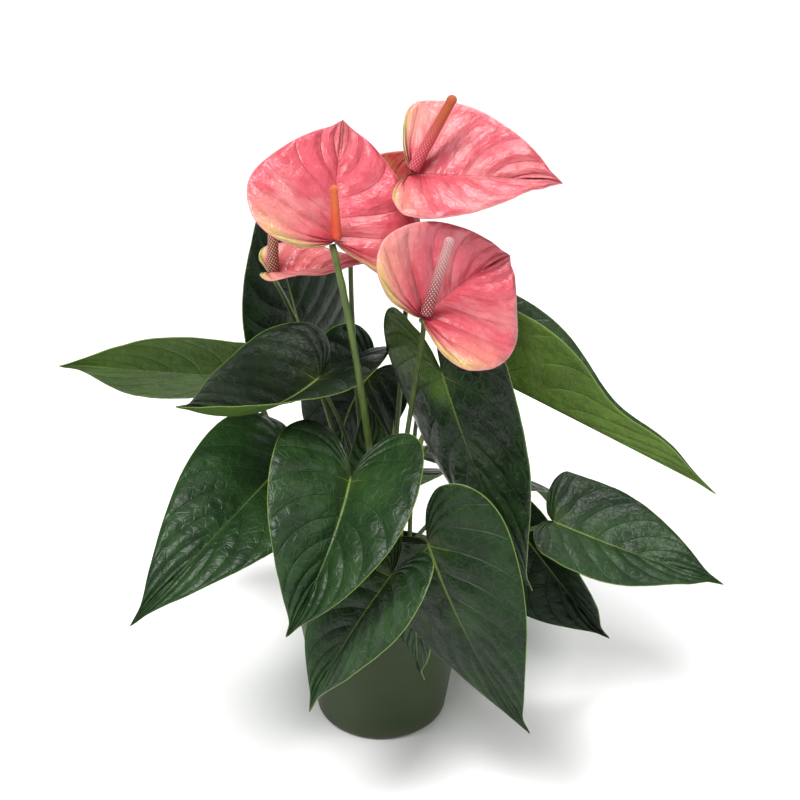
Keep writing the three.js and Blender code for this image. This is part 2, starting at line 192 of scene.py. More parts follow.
def ring_faces(rings: int, sides: int) -> Array:
    """Faces of a closed body of rings: the quads between them, then a fan over each end.

    Args:
        rings: how many rings, one after another.
        sides: points round a ring; the two end points are numbered after the last ring.

    Returns:
        Rows of four corners, where a repeated corner makes a triangle.
    """
    j = np.arange(sides)
    k = (j + 1) % sides
    count = rings * sides
    top = count - sides
    low = np.stack([np.full(sides, count), k, j, j], 1)
    high = np.stack([np.full(sides, count + 1), top + j, top + k, top + k], 1)
    return np.vstack([grid_quads(rings, sides, wrap=True), low, high])


def ring_map(heights: Array, sides: int) -> Array:
    """The UV map that goes with ring_faces: turns round the axis, and a height for each ring.

    Args:
        heights: the second coordinate of each ring.
        sides: points round a ring.

    Returns:
        One row for each face corner, with the end fans at half a turn.
    """
    i, c = np.meshgrid(np.arange(len(heights) - 1), np.arange(sides), indexing="ij")
    around = np.stack([c, c + 1, c + 1, c], -1).reshape(-1) / sides
    height = heights[np.stack([i, i, i + 1, i + 1], -1).reshape(-1)]
    caps = [np.tile([[0.5, end]], (sides * 4, 1)) for end in (heights[0], heights[-1])]
    return np.vstack([np.stack([around, height], 1), *caps])


def ring_points(radius: Array, height: Array, sides: int) -> Array:
    """Points of rings about the Z axis: (r cos a, r sin a, z) for each ring and each angle a.

    Args:
        radius: a row for each ring, with one radius or one for each side.
        height: a row for each ring, with its height.
        sides: points round a ring.

    Returns:
        One row for each point, ring by ring.
    """
    angle = np.arange(sides) / sides * 2 * math.pi
    points = np.stack([radius * np.cos(angle), radius * np.sin(angle), height + 0 * angle], 2)
    return points.reshape(-1, 3)


def unit(rows: Array) -> Array:
    """Each row divided by its own length."""
    return rows / np.linalg.norm(rows, axis=-1, keepdims=True)


def lengths(path: Array) -> Array:
    """How far along a path each of its points lies, from 0 at the first."""
    return np.r_[0, np.cumsum(np.linalg.norm(np.diff(path, axis=0), axis=1))]


# ---- Meshes ----
def make_mesh(name: str, points: Array, faces: Array, maps: dict[str, Array] | None = None,
              traits: dict[str, Array] | None = None) -> bpy.types.Object:
    """Puts arrays into a new smooth mesh object at the origin.

    Args:
        name: the piece's name.
        points: vertex places in metres.
        faces: rows of corners, where a repeated corner makes a triangle of a quad.
        maps: UV maps, each one row for every face corner of faces.
        traits: float attributes, each one number for every vertex.

    Returns:
        The linked object.
    """
    keep = np.ones(faces.shape, dtype=bool)
    for c in range(faces.shape[1]):
        keep[:, c] = faces[:, c] != faces[:, (c + 1) % faces.shape[1]]
    counts = keep.sum(1)
    good = counts >= 3
    keep &= good[:, None]
    loops = faces[keep]
    totals = counts[good]
    mesh = bpy.data.meshes.new(name)
    mesh.vertices.add(len(points))
    mesh.vertices.foreach_set("co", points.astype(np.float32).ravel())
    mesh.loops.add(len(loops))
    mesh.loops.foreach_set("vertex_index", loops.astype(np.int32))
    mesh.polygons.add(len(totals))
    mesh.polygons.foreach_set("loop_start", np.r_[0, np.cumsum(totals)[:-1]].astype(np.int32))
    mesh.update(calc_edges=True)
    for label, rows in (maps or {}).items():
        layer = mesh.uv_layers.new(name=label)
        layer.data.foreach_set("uv", rows[keep.ravel()].astype(np.float32).ravel())
    for label, numbers in (traits or {}).items():
        layer = mesh.attributes.new(label, "FLOAT", "POINT")
        layer.data.foreach_set("value", numbers.astype(np.float32))
    mesh.polygons.foreach_set("use_smooth", np.ones(len(totals), dtype=bool))
    mesh.validate()
    item = bpy.data.objects.new(name, mesh)
    bpy.context.scene.collection.objects.link(item)
    return item


def place(item: bpy.types.Object, skin: "Skin", slot: str, *nodes: str) -> None:
    """Dresses a piece and hands it to the frame.

    Args:
        item: the finished mesh object.
        skin: what its surface is made of.
        slot: a material slot's name; not used.
        nodes: the CAD nodes that it stands for; loose crumbs stand for none.
    """
    item.data.materials.clear()
    item.data.materials.append(skin.value.material())
    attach(item, BODY)
    if nodes:
        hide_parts(*nodes)
    LOG.info("%s: %d faces", item.name, len(item.data.polygons))


# ---- Shader building ----
@dataclass(frozen=True)
class Value:
    """A number on a socket, so that shader maths reads as arithmetic."""

    graph: "Graph"
    socket: bpy.types.NodeSocket

    def __add__(self, other: "Value | float") -> "Value":
        """The sum."""
        return self.graph.math("ADD", self, other)

    def __radd__(self, other: float) -> "Value":
        """The sum, the other way round."""
        return self.graph.math("ADD", other, self)

    def __sub__(self, other: "Value | float") -> "Value":
        """The difference."""
        return self.graph.math("SUBTRACT", self, other)

    def __rsub__(self, other: float) -> "Value":
        """The difference, the other way round."""
        return self.graph.math("SUBTRACT", other, self)

    def __mul__(self, other: "Value | float") -> "Value":
        """The product."""
        return self.graph.math("MULTIPLY", self, other)

    def __rmul__(self, other: float) -> "Value":
        """The product, the other way round."""
        return self.graph.math("MULTIPLY", other, self)

    def __abs__(self) -> "Value":
        """The size without its sign."""
        return self.graph.math("ABSOLUTE", self)

    def of(self, operation: str) -> "Value":
        """The result of a one-number Math operation, such as FRACT."""
        return self.graph.math(operation, self)

    def step(self, low: float, high: float) -> "Value":
        """Smooth step from 0 at low to 1 at high; low above high makes it fall.

        Args:
            low: the value that becomes 0.
            high: the value that becomes 1.

        Returns:
            The stepped value.
        """
        ends = {1: low, 2: high, 3: 0.0, 4: 1.0}
        if low > high:
            ends = {1: high, 2: low, 3: 1.0, 4: 0.0}
        node = self.graph.node(
            "ShaderNodeMapRange", {"interpolation_type": "SMOOTHSTEP"}, {0: self, **ends})
        return Value(self.graph, node.outputs[0])


class Graph:
    """One material's node tree."""

    def __init__(self, name: str) -> None:
        """Starts an empty material.

        Args:
            name: the material's name.
        """
        self.material = bpy.data.materials.new(name)
        self.material.use_nodes = True
        self.tree = self.material.node_tree
        self.tree.nodes.clear()

    def node(self, kind: str, settings: dict[str, Any] | None = None,
             inputs: dict[int | str, Any] | None = None) -> bpy.types.Node:
        """Adds a node.

        Args:
            kind: the node's type.
            settings: properties, set first; stops is a ramp's list of (place, colour).
            inputs: values, wrapped values or sockets, by input name or number.

        Returns:
            The node.
        """
        made = self.tree.nodes.new(kind)
        for key, value in (settings or {}).items():
            if key == "stops":
                ramp = made.color_ramp
                while len(ramp.elements) < len(value):
                    ramp.elements.new(0.5)
                for element, (spot, colour) in zip(ramp.elements, value):
                    element.position = spot
                    element.color = (*colour, 1.0)
            else:
                setattr(made, key, value)
        for key, value in (inputs or {}).items():
            socket = made.inputs[key]
            source = value.socket if isinstance(value, Value) else value
            if isinstance(source, bpy.types.NodeSocket):
                self.tree.links.new(source, socket)
            elif isinstance(source, tuple) and len(source) == 3 and socket.type == "RGBA":
                socket.default_value = (*source, 1.0)
            else:
                socket.default_value = source
        return made

    def math(self, operation: str, first: Value | float,
             second: Value | float | None = None) -> Value:
        """Adds a Math node.

        Args:
            operation: the node's operation.
            first: its first number.
            second: its second number, if it has one.

        Returns:
            The result.
        """
        inputs: dict[int | str, Any] = {0: first}
        if second is not None:
            inputs[1] = second
        made = self.node("ShaderNodeMath", {"operation": operation}, inputs)
        return Value(self, made.outputs[0])

    def trait(self, name: str) -> Value:
        """The piece's own float attribute of that name."""
        made = self.node("ShaderNodeAttribute", {"attribute_name": name})
        return Value(self, made.outputs["Fac"])

    def flat(self, name: str) -> tuple[Value, Value]:
        """The two coordinates of the UV map of that name."""
        uv = self.node("ShaderNodeUVMap", {"uv_map": name})
        parts = self.node("ShaderNodeSeparateXYZ", None, {0: uv.outputs[0]})
        return Value(self, parts.outputs[0]), Value(self, parts.outputs[1])

    def where(self) -> bpy.types.NodeSocket:
        """Object coordinates."""
        return self.node("ShaderNodeTexCoord").outputs["Object"]

    def noise(self, scale: float, detail: float = 2.0, stretch: Triple | None = None) -> Value:
        """Noise on Object coordinates.

        Args:
            scale: waves per metre.
            detail: how many finer octaves.
            stretch: scale of each axis before the noise.

        Returns:
            A number around one half.
        """
        spot = self.where()
        if stretch is not None:
            spot = self.node("ShaderNodeMapping", None,
                             {"Vector": spot, "Scale": stretch}).outputs[0]
        made = self.node("ShaderNodeTexNoise", None,
                         {"Vector": spot, "Scale": scale, "Detail": detail})
        return Value(self, made.outputs[0])

    def streaks(self, across: Value, along: Value) -> Value:
        """Noise over two values that are already scaled to waves, such as a map's coordinates.

        Args:
            across: waves across the streaks.
            along: waves along them.

        Returns:
            A number around one half.
        """
        spot = self.node("ShaderNodeCombineXYZ", None, {0: across, 1: along})
        made = self.node("ShaderNodeTexNoise", None,
                         {"Vector": spot.outputs[0], "Scale": 1.0, "Detail": 3.0})
        return Value(self, made.outputs[0])

    def cells(self, scale: float, feature: str = "DISTANCE_TO_EDGE") -> Value:
        """Voronoi distances on Object coordinates.

        Args:
            scale: cells per metre.
            feature: the node's feature.

        Returns:
            The distance.
        """
        made = self.node("ShaderNodeTexVoronoi", {"feature": feature},
                         {"Vector": self.where(), "Scale": scale})
        return Value(self, made.outputs["Distance"])

    def mix(self, factor: Value | float, first: Any, second: Any) -> bpy.types.NodeSocket:
        """Mixes two colours.

        Args:
            factor: the second colour's share.
            first: a colour or its socket.
            second: a colour or its socket.

        Returns:
            The mixed colour's socket.
        """
        made = self.node("ShaderNodeMix", {"data_type": "RGBA", "clamp_factor": True},
                         {0: factor, 6: first, 7: second})
        return made.outputs[2]

    def bump(self, height: Value, distance: float, strength: float = 1.0) -> bpy.types.NodeSocket:
        """A Bump node's normal.

        Args:
            height: the height, 1 standing for distance.
            distance: metres.
            strength: the share of it that shows.

        Returns:
            The normal's socket.
        """
        made = self.node("ShaderNodeBump", None,
                         {"Height": height, "Distance": distance, "Strength": strength})
        return made.outputs[0]

    def surface(self, colour: Any, roughness: Any, normal: bpy.types.NodeSocket | None = None,
                **constants: float) -> bpy.types.Material:
        """Ends the tree in a Principled shader.

        Args:
            colour: base colour.
            roughness: roughness.
            normal: the normal, if it is bent.
            constants: other sockets by name, with _ for a space, each set as a plain number.

        Returns:
            The material.
        """
        inputs: dict[int | str, Any] = {"Base Color": colour, "Roughness": roughness}
        if normal is not None:
            inputs["Normal"] = normal
        for key, value in constants.items():
            inputs[key.replace("_", " ").title().replace("Ior", "IOR")] = value
        shader = self.node("ShaderNodeBsdfPrincipled", None, inputs)
        self.node("ShaderNodeOutputMaterial", None, {0: shader.outputs[0]})
        return self.material


class Finish:
    """A surface finish, made into a material once."""

    def build(self) -> bpy.types.Material:
        """Makes the material."""
        raise NotImplementedError

    def material(self) -> bpy.types.Material:
        """The material, made at its first use."""
        known = _MADE.get(self)
        if known is None:
            known = self.build()
            _MADE[self] = known
        return known


_MADE: dict[Finish, bpy.types.Material] = {}


def shade(colour: Triple, factor: float) -> Triple:
    """A colour made lighter or darker by a factor."""
    return tuple(c * factor for c in colour)


def distance(first: Value, second: Value) -> Value:
    """How far a point lies from 0, by its two coordinates."""
    return (first * first + second * second).of("SQRT")


@dataclass(frozen=True)
class Veining:
    """Side veins: how many to a side, how far forward they run, and a vein's share of its step."""

    count: float
    lean: float
    width: float

    def lines(self, graph: Graph) -> tuple[Value, Value, Value, Value]:
        """The veins as they show, from the UV map named veins.

        The map holds how far round the outline a point's line ends and its share of the way out
        along that line. A vein runs where the first, less lean times the second, is a whole number
        of steps.

        Args:
            graph: the material's tree.

        Returns:
            The vein mask, the rounded height between veins, and the map's two coordinates.
        """
        around, out = graph.flat("veins")
        steps = (around - self.lean * out + 1.0) * self.count
        phase = abs(steps.of("FRACT") - 0.5) * 2.0
        fade = out.step(0.99, 0.90)
        line = phase.step(1.0 - self.width, 1.0) * fade
        rise = (1.0 - phase * phase) * fade * out.step(0.0, 0.2)
        return line, rise, around, out


LEAF_VEINS = Veining(13.0, 0.20, 0.075)
SPATHE_VEINS = Veining(10.0, 0.16, 0.10)


@dataclass(frozen=True)
class LeafFinish(Finish):
    """Waxy leaf: veined, quilted, with a pale margin and a paler, matter underside."""

    name: str
    face: Triple = (0.007, 0.024, 0.006)
    light: Triple = (0.017, 0.050, 0.011)
    vein: Triple = (0.070, 0.150, 0.036)
    margin: Triple = (0.190, 0.280, 0.050)
    under: Triple = (0.045, 0.090, 0.014)
    gloss: float = 0.33
    sheen: float = 0.32
    turned: float = 0.0

    def build(self) -> bpy.types.Material:
        """Makes the material.

        Returns:
            The material, with the upper side's colours mixed to the underside's by its attribute.
        """
        g = Graph(self.name)
        line, rise, around, out = LEAF_VEINS.lines(g)
        along, across = g.flat("spread")
        under = g.trait("under")
        rib_width = 0.30 + 0.75 * along.step(90.0, -5.0)
        rib = (abs(across) - rib_width).step(0.30, -0.25)
        near = distance(along, across)
        star = near.step(20.0, 1.0) * (0.10 + 0.90 * line)
        blotch = g.noise(38.0, 3.0)
        pucker = g.noise(105.0, 1.5)
        wrinkle = g.noise(330.0, 3.0)
        fine = g.cells(310.0).step(0.09, 0.0)
        coarse = g.cells(150.0).step(0.10, 0.0)
        face = g.mix(blotch.step(0.35, 0.72), self.face, self.light)
        face = g.mix(fine * 0.07 + coarse * 0.08, face, self.vein)
        face = g.mix(line * 0.22, face, self.vein)
        face = g.mix(rib * (0.20 + 0.50 * near.step(80.0, 5.0)), face, self.margin)
        face = g.mix(star * 0.85, face, self.margin)
        back = g.mix(blotch.step(0.3, 0.8), self.under, shade(self.under, 1.5))
        back = g.mix(line * 0.3 + fine * 0.15 + rib * 0.5, back, self.margin)
        lobe = around.step(0.52, 0.42) * across.step(1.5, -1.5) * self.turned
        colour = g.mix((under + lobe).step(0.0, 1.0), face, back)
        colour = g.mix(out.step(0.987, 0.997) * 0.75, colour, self.margin)
        height = rise * 0.60 - line * 0.40 - coarse * 0.10 + rib * 0.35
        height = height + pucker * 1.30 + wrinkle * 0.26
        grain = g.noise(900.0, 2.0)
        rough = self.gloss + 0.12 * blotch + 0.16 * under + 0.05 * grain
        normal = g.bump(height + grain * 0.03, 0.0019, 0.8)
        return g.surface(colour, rough, normal, specular_ior_level=self.sheen)


@dataclass(frozen=True)
class SpatheFinish(Finish):
    """Waxy spathe: pink with redder hollows, raised veins and green-cream lobes."""

    name: str
    face: Triple = (0.560, 0.082, 0.112)
    deep: Triple = (0.410, 0.020, 0.034)
    pale: Triple = (0.640, 0.260, 0.255)
    cream_tint: Triple = (0.780, 0.400, 0.240)
    margin: Triple = (0.420, 0.440, 0.090)
    under: Triple = (0.640, 0.210, 0.170)
    cream: float = 0.8

    def build(self) -> bpy.types.Material:
        """Makes the material.

        Returns:
            The material, redder in its fine hollows and paler on its veins.
        """
        g = Graph(self.name)
        line, rise, around, out = SPATHE_VEINS.lines(g)
        along, across = g.flat("spread")
        under = g.trait("under")
        blotch = g.noise(26.0, 3.0)
        hollow = g.noise(115.0, 3.5)
        mesh = g.cells(150.0).step(0.14, 0.0)
        near = distance(along, across)
        face = g.mix(blotch.step(0.45, 0.75) * 0.7, self.face, self.pale)
        streak = g.streaks((around - out * 0.16) * 42.0 + across.step(-0.1, 0.1) * 7.3, out * 3.5)
        face = g.mix(hollow.step(0.52, 0.66) * 0.30, face, self.deep)
        face = g.mix(streak.step(0.46, 0.68) * 0.38, face, self.deep)
        face = g.mix(line * 0.08 + mesh * 0.05, face, self.deep)
        face = g.mix(near.step(28.0, 3.0) * 0.65, face, self.deep)
        lobe = around.step(0.58, 0.30) * out.step(0.30, 0.98) * self.cream
        face = g.mix(lobe * (0.45 + 0.8 * blotch), face, self.cream_tint)
        face = g.mix((lobe * 1.6 - 0.6).step(0.0, 1.0) * (0.4 + blotch), face, self.margin)
        back = g.mix(hollow.step(0.35, 0.75), self.under, self.deep)
        back = g.mix(line * 0.4 + mesh * 0.2, back, self.deep)
        colour = g.mix(under, face, back)
        colour = g.mix(out.step(0.975, 0.995) * 0.7, colour, self.pale)
        rib = (abs(across) - 0.9).step(0.7, -0.3)
        height = rise - line * 0.15 - mesh * 0.05 + hollow * 0.80 - rib * 0.3
        wrinkle = g.noise(260.0, 3.0)
        rough = 0.27 + 0.14 * blotch + 0.22 * under
        normal = g.bump(height + wrinkle * 0.25 + streak * 0.80, 0.0017, 0.85)
        return g.surface(colour, rough, normal, specular_ior_level=0.42, coat_weight=0.10,
                         coat_roughness=0.18)


@dataclass(frozen=True)
class StemFinish(Finish):
    """Smooth stem, paler at its swollen top and brown and papery at its foot."""

    name: str
    body: Triple = (0.056, 0.090, 0.014)
    pale: Triple = (0.135, 0.190, 0.038)
    foot: Triple = (0.100, 0.070, 0.030)

    def build(self) -> bpy.types.Material:
        """Makes the material.

        Returns:
            The material, streaked along the stem.
        """
        g = Graph(self.name)
        around, along = g.flat("stem")
        top = g.trait("top")
        streak = g.noise(55.0, 4.0, (6.0, 6.0, 1.0))
        speck = g.cells(700.0, "F1").step(0.22, 0.05)
        colour = g.mix(streak.step(0.35, 0.7), self.body, shade(self.body, 1.55))
        colour = g.mix(speck * 0.18, colour, self.pale)
        colour = g.mix(top.step(0.0, 1.0) * 0.75, colour, self.pale)
        scale = along.step(13.0, 3.0)
        colour = g.mix(scale * (0.4 + streak), colour, self.foot)
        rings = (around * 11.0).of("FRACT")
        height = abs(rings - 0.5) * 0.5 + streak * 0.6 + scale * g.noise(420.0) * 1.2
        rough = 0.40 + 0.14 * streak + 0.25 * scale
        return g.surface(colour, rough, g.bump(height, 0.0003, 0.7), specular_ior_level=0.5)


@dataclass(frozen=True)
class SpadixFinish(Finish):
    """Beaded spadix: dotted with florets, its colour running from foot to tip."""

    name: str
    foot: Triple
    tip: Triple
    dot: Triple
    dots: float = 1.0
    fade: float = 0.0
    turns: Pair = (8.0, 13.0)
    climbs: Pair = (21.0, 13.0)

    def build(self) -> bpy.types.Material:
        """Makes the material.

        Returns:
            The material, a dot where both families of spirals cross.
        """
        g = Graph(self.name)
        around, along = g.flat("rod")
        first = abs((around * self.turns[0] + along * self.climbs[0]).of("FRACT") - 0.5) * 2.0
        second = abs((around * self.turns[1] - along * self.climbs[1]).of("FRACT") - 0.5) * 2.0
        bead = (1.0 - (first * first + second * second) * 0.5).step(0.0, 1.0)
        grain = g.noise(900.0, 2.0)
        colour = g.mix((along + grain * 0.3).step(0.25, 1.05), self.foot, self.tip)
        # Darker between the beads: painted shade in the hollows.
        colour = g.mix(bead.step(0.35, 0.0) * 0.55, colour, shade(self.foot, 0.35))
        heart = distance(first, second).step(0.58, 0.22)
        shown = self.dots * (1.0 - self.fade * along.step(0.25, 0.75))
        colour = g.mix(heart * shown * (0.55 + grain), colour, self.dot)
        return g.surface(colour, 0.42 + 0.2 * grain, g.bump(bead + grain * 0.2, 0.0003, 0.8),
                         specular_ior_level=0.45)


@dataclass(frozen=True)
class PotFinish(Finish):
    """Satin moulded plastic with a fine grain, faint flow marks, scuffs and dust."""

    name: str
    body: Triple = (0.020, 0.034, 0.009)
    worn: Triple = (0.032, 0.050, 0.016)
    dust: Triple = (0.090, 0.085, 0.060)

    def build(self) -> bpy.types.Material:
        """Makes the material.

        Returns:
            The material.
        """
        g = Graph(self.name)
        cloud = g.noise(16.0, 4.0)
        grain = g.noise(1500.0, 2.0)
        flow = g.noise(34.0, 3.0, (1.0, 1.0, 0.12))
        scuff = g.noise(240.0, 5.0, (1.0, 1.0, 7.0)).step(0.66, 0.80)
        spot = g.node("ShaderNodeSeparateXYZ", None, {0: g.where()})
        high = Value(g, spot.outputs[2])
        colour = g.mix(cloud.step(0.3, 0.75) * 0.5 + flow * 0.2, self.body, self.worn)
        colour = g.mix(scuff * 0.35, colour, self.worn)
        colour = g.mix(high.step(0.014, 0.0) * cloud.step(0.35, 0.7) * 0.5, colour, self.dust)
        rough = 0.38 + 0.12 * cloud + 0.12 * scuff + 0.05 * grain
        height = grain * 0.35 + flow * 0.5 - scuff * 0.2
        return g.surface(colour, rough, g.bump(height, 0.00035, 0.6), specular_ior_level=0.24)


@dataclass(frozen=True)
class SoilFinish(Finish):
    """Moist peat, darker between its crumbs: partly its own colour, partly painted shade."""

    name: str
    dark: Triple = (0.020, 0.012, 0.007)
    crumb: Triple = (0.085, 0.050, 0.028)

    def build(self) -> bpy.types.Material:
        """Makes the material.

        Returns:
            The material.
        """
        g = Graph(self.name)
        lump = g.noise(190.0, 5.0)
        clod = g.cells(260.0, "F1")
        fibre = g.noise(120.0, 4.0, (1.0, 6.0, 1.0)).step(0.62, 0.70)
        # Darker where the lumps are low, between the crumbs: partly the peat's colour, partly
        # painted shade.
        colour = g.mix(lump.step(0.35, 0.68), self.dark, self.crumb)
        colour = g.mix(fibre * 0.5, colour, shade(self.crumb, 2.2))
        height = lump + clod * 0.8 + fibre * 0.4
        return g.surface(colour, 0.78 + 0.2 * lump, g.bump(height, 0.0022, 0.9),
                         specular_ior_level=0.25)


@dataclass(frozen=True)
class PlainFinish(Finish):
    """A mottled matt finish for crumbs and for the floor."""

    name: str
    first: Triple
    second: Triple
    scale: float
    roughness: float = 0.85
    relief: float = 0.0004

    def build(self) -> bpy.types.Material:
        """Makes the material.

        Returns:
            The material.
        """
        g = Graph(self.name)
        cloud = g.noise(self.scale, 4.0)
        colour = g.mix(cloud.step(0.35, 0.68), self.first, self.second)
        return g.surface(colour, self.roughness - 0.1 * cloud, g.bump(cloud, self.relief, 0.8),
                         specular_ior_level=0.3)


class Skin(Enum):
    """The finishes of the object's pieces."""

    MATURE = LeafFinish("leaf mature")
    SHADED = LeafFinish("leaf shaded", face=(0.003, 0.010, 0.0035), light=(0.008, 0.022, 0.006),
                        vein=(0.030, 0.070, 0.020), sheen=0.17)
    # A darker copy of the mature leaf's colours: painted shade.
    SHADED_DEEP = LeafFinish("leaf shaded deep", face=(0.004, 0.014, 0.004), light=(0.010, 0.031, 0.007),
                      sheen=0.22)
    # Face colours darker than the mature leaf's: painted shade; the turned lobe shows the
    # underside's colours.
    TURNED_SHADED = LeafFinish("leaf turned shaded", face=(0.004, 0.015, 0.004), light=(0.013, 0.040, 0.009),
                        gloss=0.24, turned=1.0)
    OLIVE = LeafFinish("leaf olive", face=(0.012, 0.032, 0.009), light=(0.026, 0.060, 0.014),
                       under=(0.062, 0.112, 0.012))
    YOUNG = LeafFinish("leaf young", face=(0.011, 0.032, 0.008), light=(0.026, 0.062, 0.013),
                       under=(0.034, 0.070, 0.014), gloss=0.3)
    PINK = SpatheFinish("spathe pink")
    RIPE = SpatheFinish("spathe ripe", face=(0.560, 0.125, 0.130), under=(0.420, 0.110, 0.040),
                        cream=1.0)
    STEM = StemFinish("stem green")
    SHOOT = StemFinish("shoot", body=(0.180, 0.220, 0.045), pale=(0.300, 0.330, 0.090))
    YOUNG_ROD = SpadixFinish("spadix young", foot=(0.600, 0.060, 0.022), tip=(0.600, 0.120, 0.030),
                             dot=(0.680, 0.200, 0.070), dots=0.35)
    OPEN_ROD = SpadixFinish("spadix open", foot=(0.470, 0.050, 0.080), tip=(0.380, 0.070, 0.012),
                            dot=(0.760, 0.360, 0.340), dots=0.70, fade=0.85)
    MAROON_ROD = SpadixFinish("spadix maroon", foot=(0.190, 0.022, 0.030),
                              tip=(0.430, 0.200, 0.210), dot=(0.720, 0.480, 0.420))
    DARK_ROD = SpadixFinish("spadix dark", foot=(0.160, 0.035, 0.025), tip=(0.260, 0.075, 0.050),
                            dot=(0.750, 0.560, 0.360))
    POT = PotFinish("pot plastic")
    SOIL = SoilFinish("soil peat")
    BARK = PlainFinish("bark crumbs", (0.045, 0.022, 0.011), (0.190, 0.105, 0.055), 300.0)
    PERLITE = PlainFinish("perlite", (0.520, 0.480, 0.400), (0.780, 0.750, 0.680), 900.0)
    FLOOR = PlainFinish("floor", (0.900, 0.900, 0.900), (0.915, 0.915, 0.915), 3.0, 0.6, 0.0)


# ---- Pot and soil ----
@dataclass(frozen=True)
class Pot:
    """Tapered nursery pot with a rim band and a ring of drain holes."""

    height: float = 105.0
    rim: float = 60.0
    base: float = 44.0
    wall: float = 1.4
    floor: float = 2.0
    edge: float = 5.0
    band: float = 12.0
    proud: float = 1.6
    holes: int = 8
    hole: float = 4.0
    hub: float = 20.0
    segments: int = 160

    def radius(self, z: float) -> float:
        """The wall's outer radius at a height."""
        return self.base + (self.rim - self.proud - self.base) * z / (self.height - self.band)

    def profile(self) -> Array:
        """The closed outline that is turned: up the outside, over the lip, down the inside.

        Returns:
            Radius and height of each point.
        """
        foot = self.height - self.band
        angle = np.linspace(0, math.pi / 2, 7)
        edge = np.stack([self.radius(self.edge) - self.edge * (1 - np.sin(angle)),
                         self.edge * (1 - np.cos(angle))], 1)
        half = self.wall / 2
        lip_angle = np.linspace(0, math.pi, 7)
        lip = np.stack([self.rim - half + half * np.cos(lip_angle),
                        self.height - half + half * np.sin(lip_angle)], 1)
        outside = np.linspace((self.radius(10), 10), (self.radius(foot - 1), foot - 1), 12)
        step = np.array([[self.radius(foot), foot - 0.3], [self.radius(foot) + 0.4, foot],
                         [self.rim - 0.5, foot], [self.rim, foot + 0.5]])
        band = np.linspace((self.rim, foot + 2), (self.rim, self.height - 2), 4)
        inside = self.rim - self.wall
        inner = np.array([[inside, self.height - 2], [inside, foot + self.wall],
                          [self.radius(foot) - self.wall, foot + self.wall]])
        down = np.linspace((self.radius(foot - 3) - self.wall, foot - 3),
                           (self.radius(self.edge) - self.wall, self.edge), 8)
        last = np.array([[self.radius(self.edge) - self.edge, self.floor], [self.hub, self.floor]])
        return np.vstack([[[self.hub, 0.0]], edge, outside, step, band, lip, inner, down, last])

    def build(self) -> bpy.types.Object:
        """Turns the profile about the axis and drills the drain holes.

        Returns:
            The pot, as one closed shell.
        """
        item = turned("pot_shell", self.profile(), self.segments, lambda p: p)
        ring = self.radius(self.edge) - self.edge - self.hole * 1.5
        bits = [turned("drill", np.array([[self.hole, -2.0], [self.hole, 4.0]]), 32,
                       lambda p, a=angle: p + np.array([ring * math.cos(a),
                                                        ring * math.sin(a), 0.0]))
                for angle in (np.arange(self.holes) + 0.5) / self.holes * 2 * math.pi]
        for bit in bits:
            cut = item.modifiers.new("drain", "BOOLEAN")
            cut.operation = "DIFFERENCE"
            cut.solver = "EXACT"
            cut.object = bit
        scene = bpy.context.evaluated_depsgraph_get()
        shape = bpy.data.meshes.new_from_object(item.evaluated_get(scene))
        item.modifiers.clear()
        item.data = shape
        for bit in bits:
            bpy.data.objects.remove(bit)
        clean = bmesh.new()
        clean.from_mesh(shape)
        bmesh.ops.remove_doubles(clean, verts=clean.verts, dist=SLIVER)
        bmesh.ops.dissolve_degenerate(clean, edges=clean.edges, dist=SLIVER)
        bmesh.ops.triangulate(clean, faces=clean.faces)
        clean.to_mesh(shape)
        clean.free()
        shape.polygons.foreach_set("use_smooth", np.ones(len(shape.polygons), dtype=bool))
        shape.set_sharp_from_angle(angle=math.radians(38))
        return item

    def dress(self, item: bpy.types.Object) -> None:
        """Gives the pot its plastic and hands it to the frame."""
        place(item, Skin.POT, "pot_plastic", "pot")


def turned(name: str, profile: Array, segments: int,
           shift: Callable[[Array], Array]) -> bpy.types.Object:
    """Turns a profile about the Z axis into a closed body.

    The first and last rings are closed by a centre point each, so the body is solid.

    Args:
        name: the object's name.
        profile: radius and height of each point, in millimetres, outside first.
        segments: steps round the axis.
        shift: moves the points, in millimetres, once they are turned.

    Returns:
        The object.
    """
    rings = ring_points(profile[:, :1], profile[:, 1:], segments)
    middle = np.array([[0, 0, profile[0, 1]], [0, 0, profile[-1, 1]]])
    points = shift(np.vstack([rings, middle])) * MM
    return make_mesh(name, points, ring_faces(len(profile), segments))


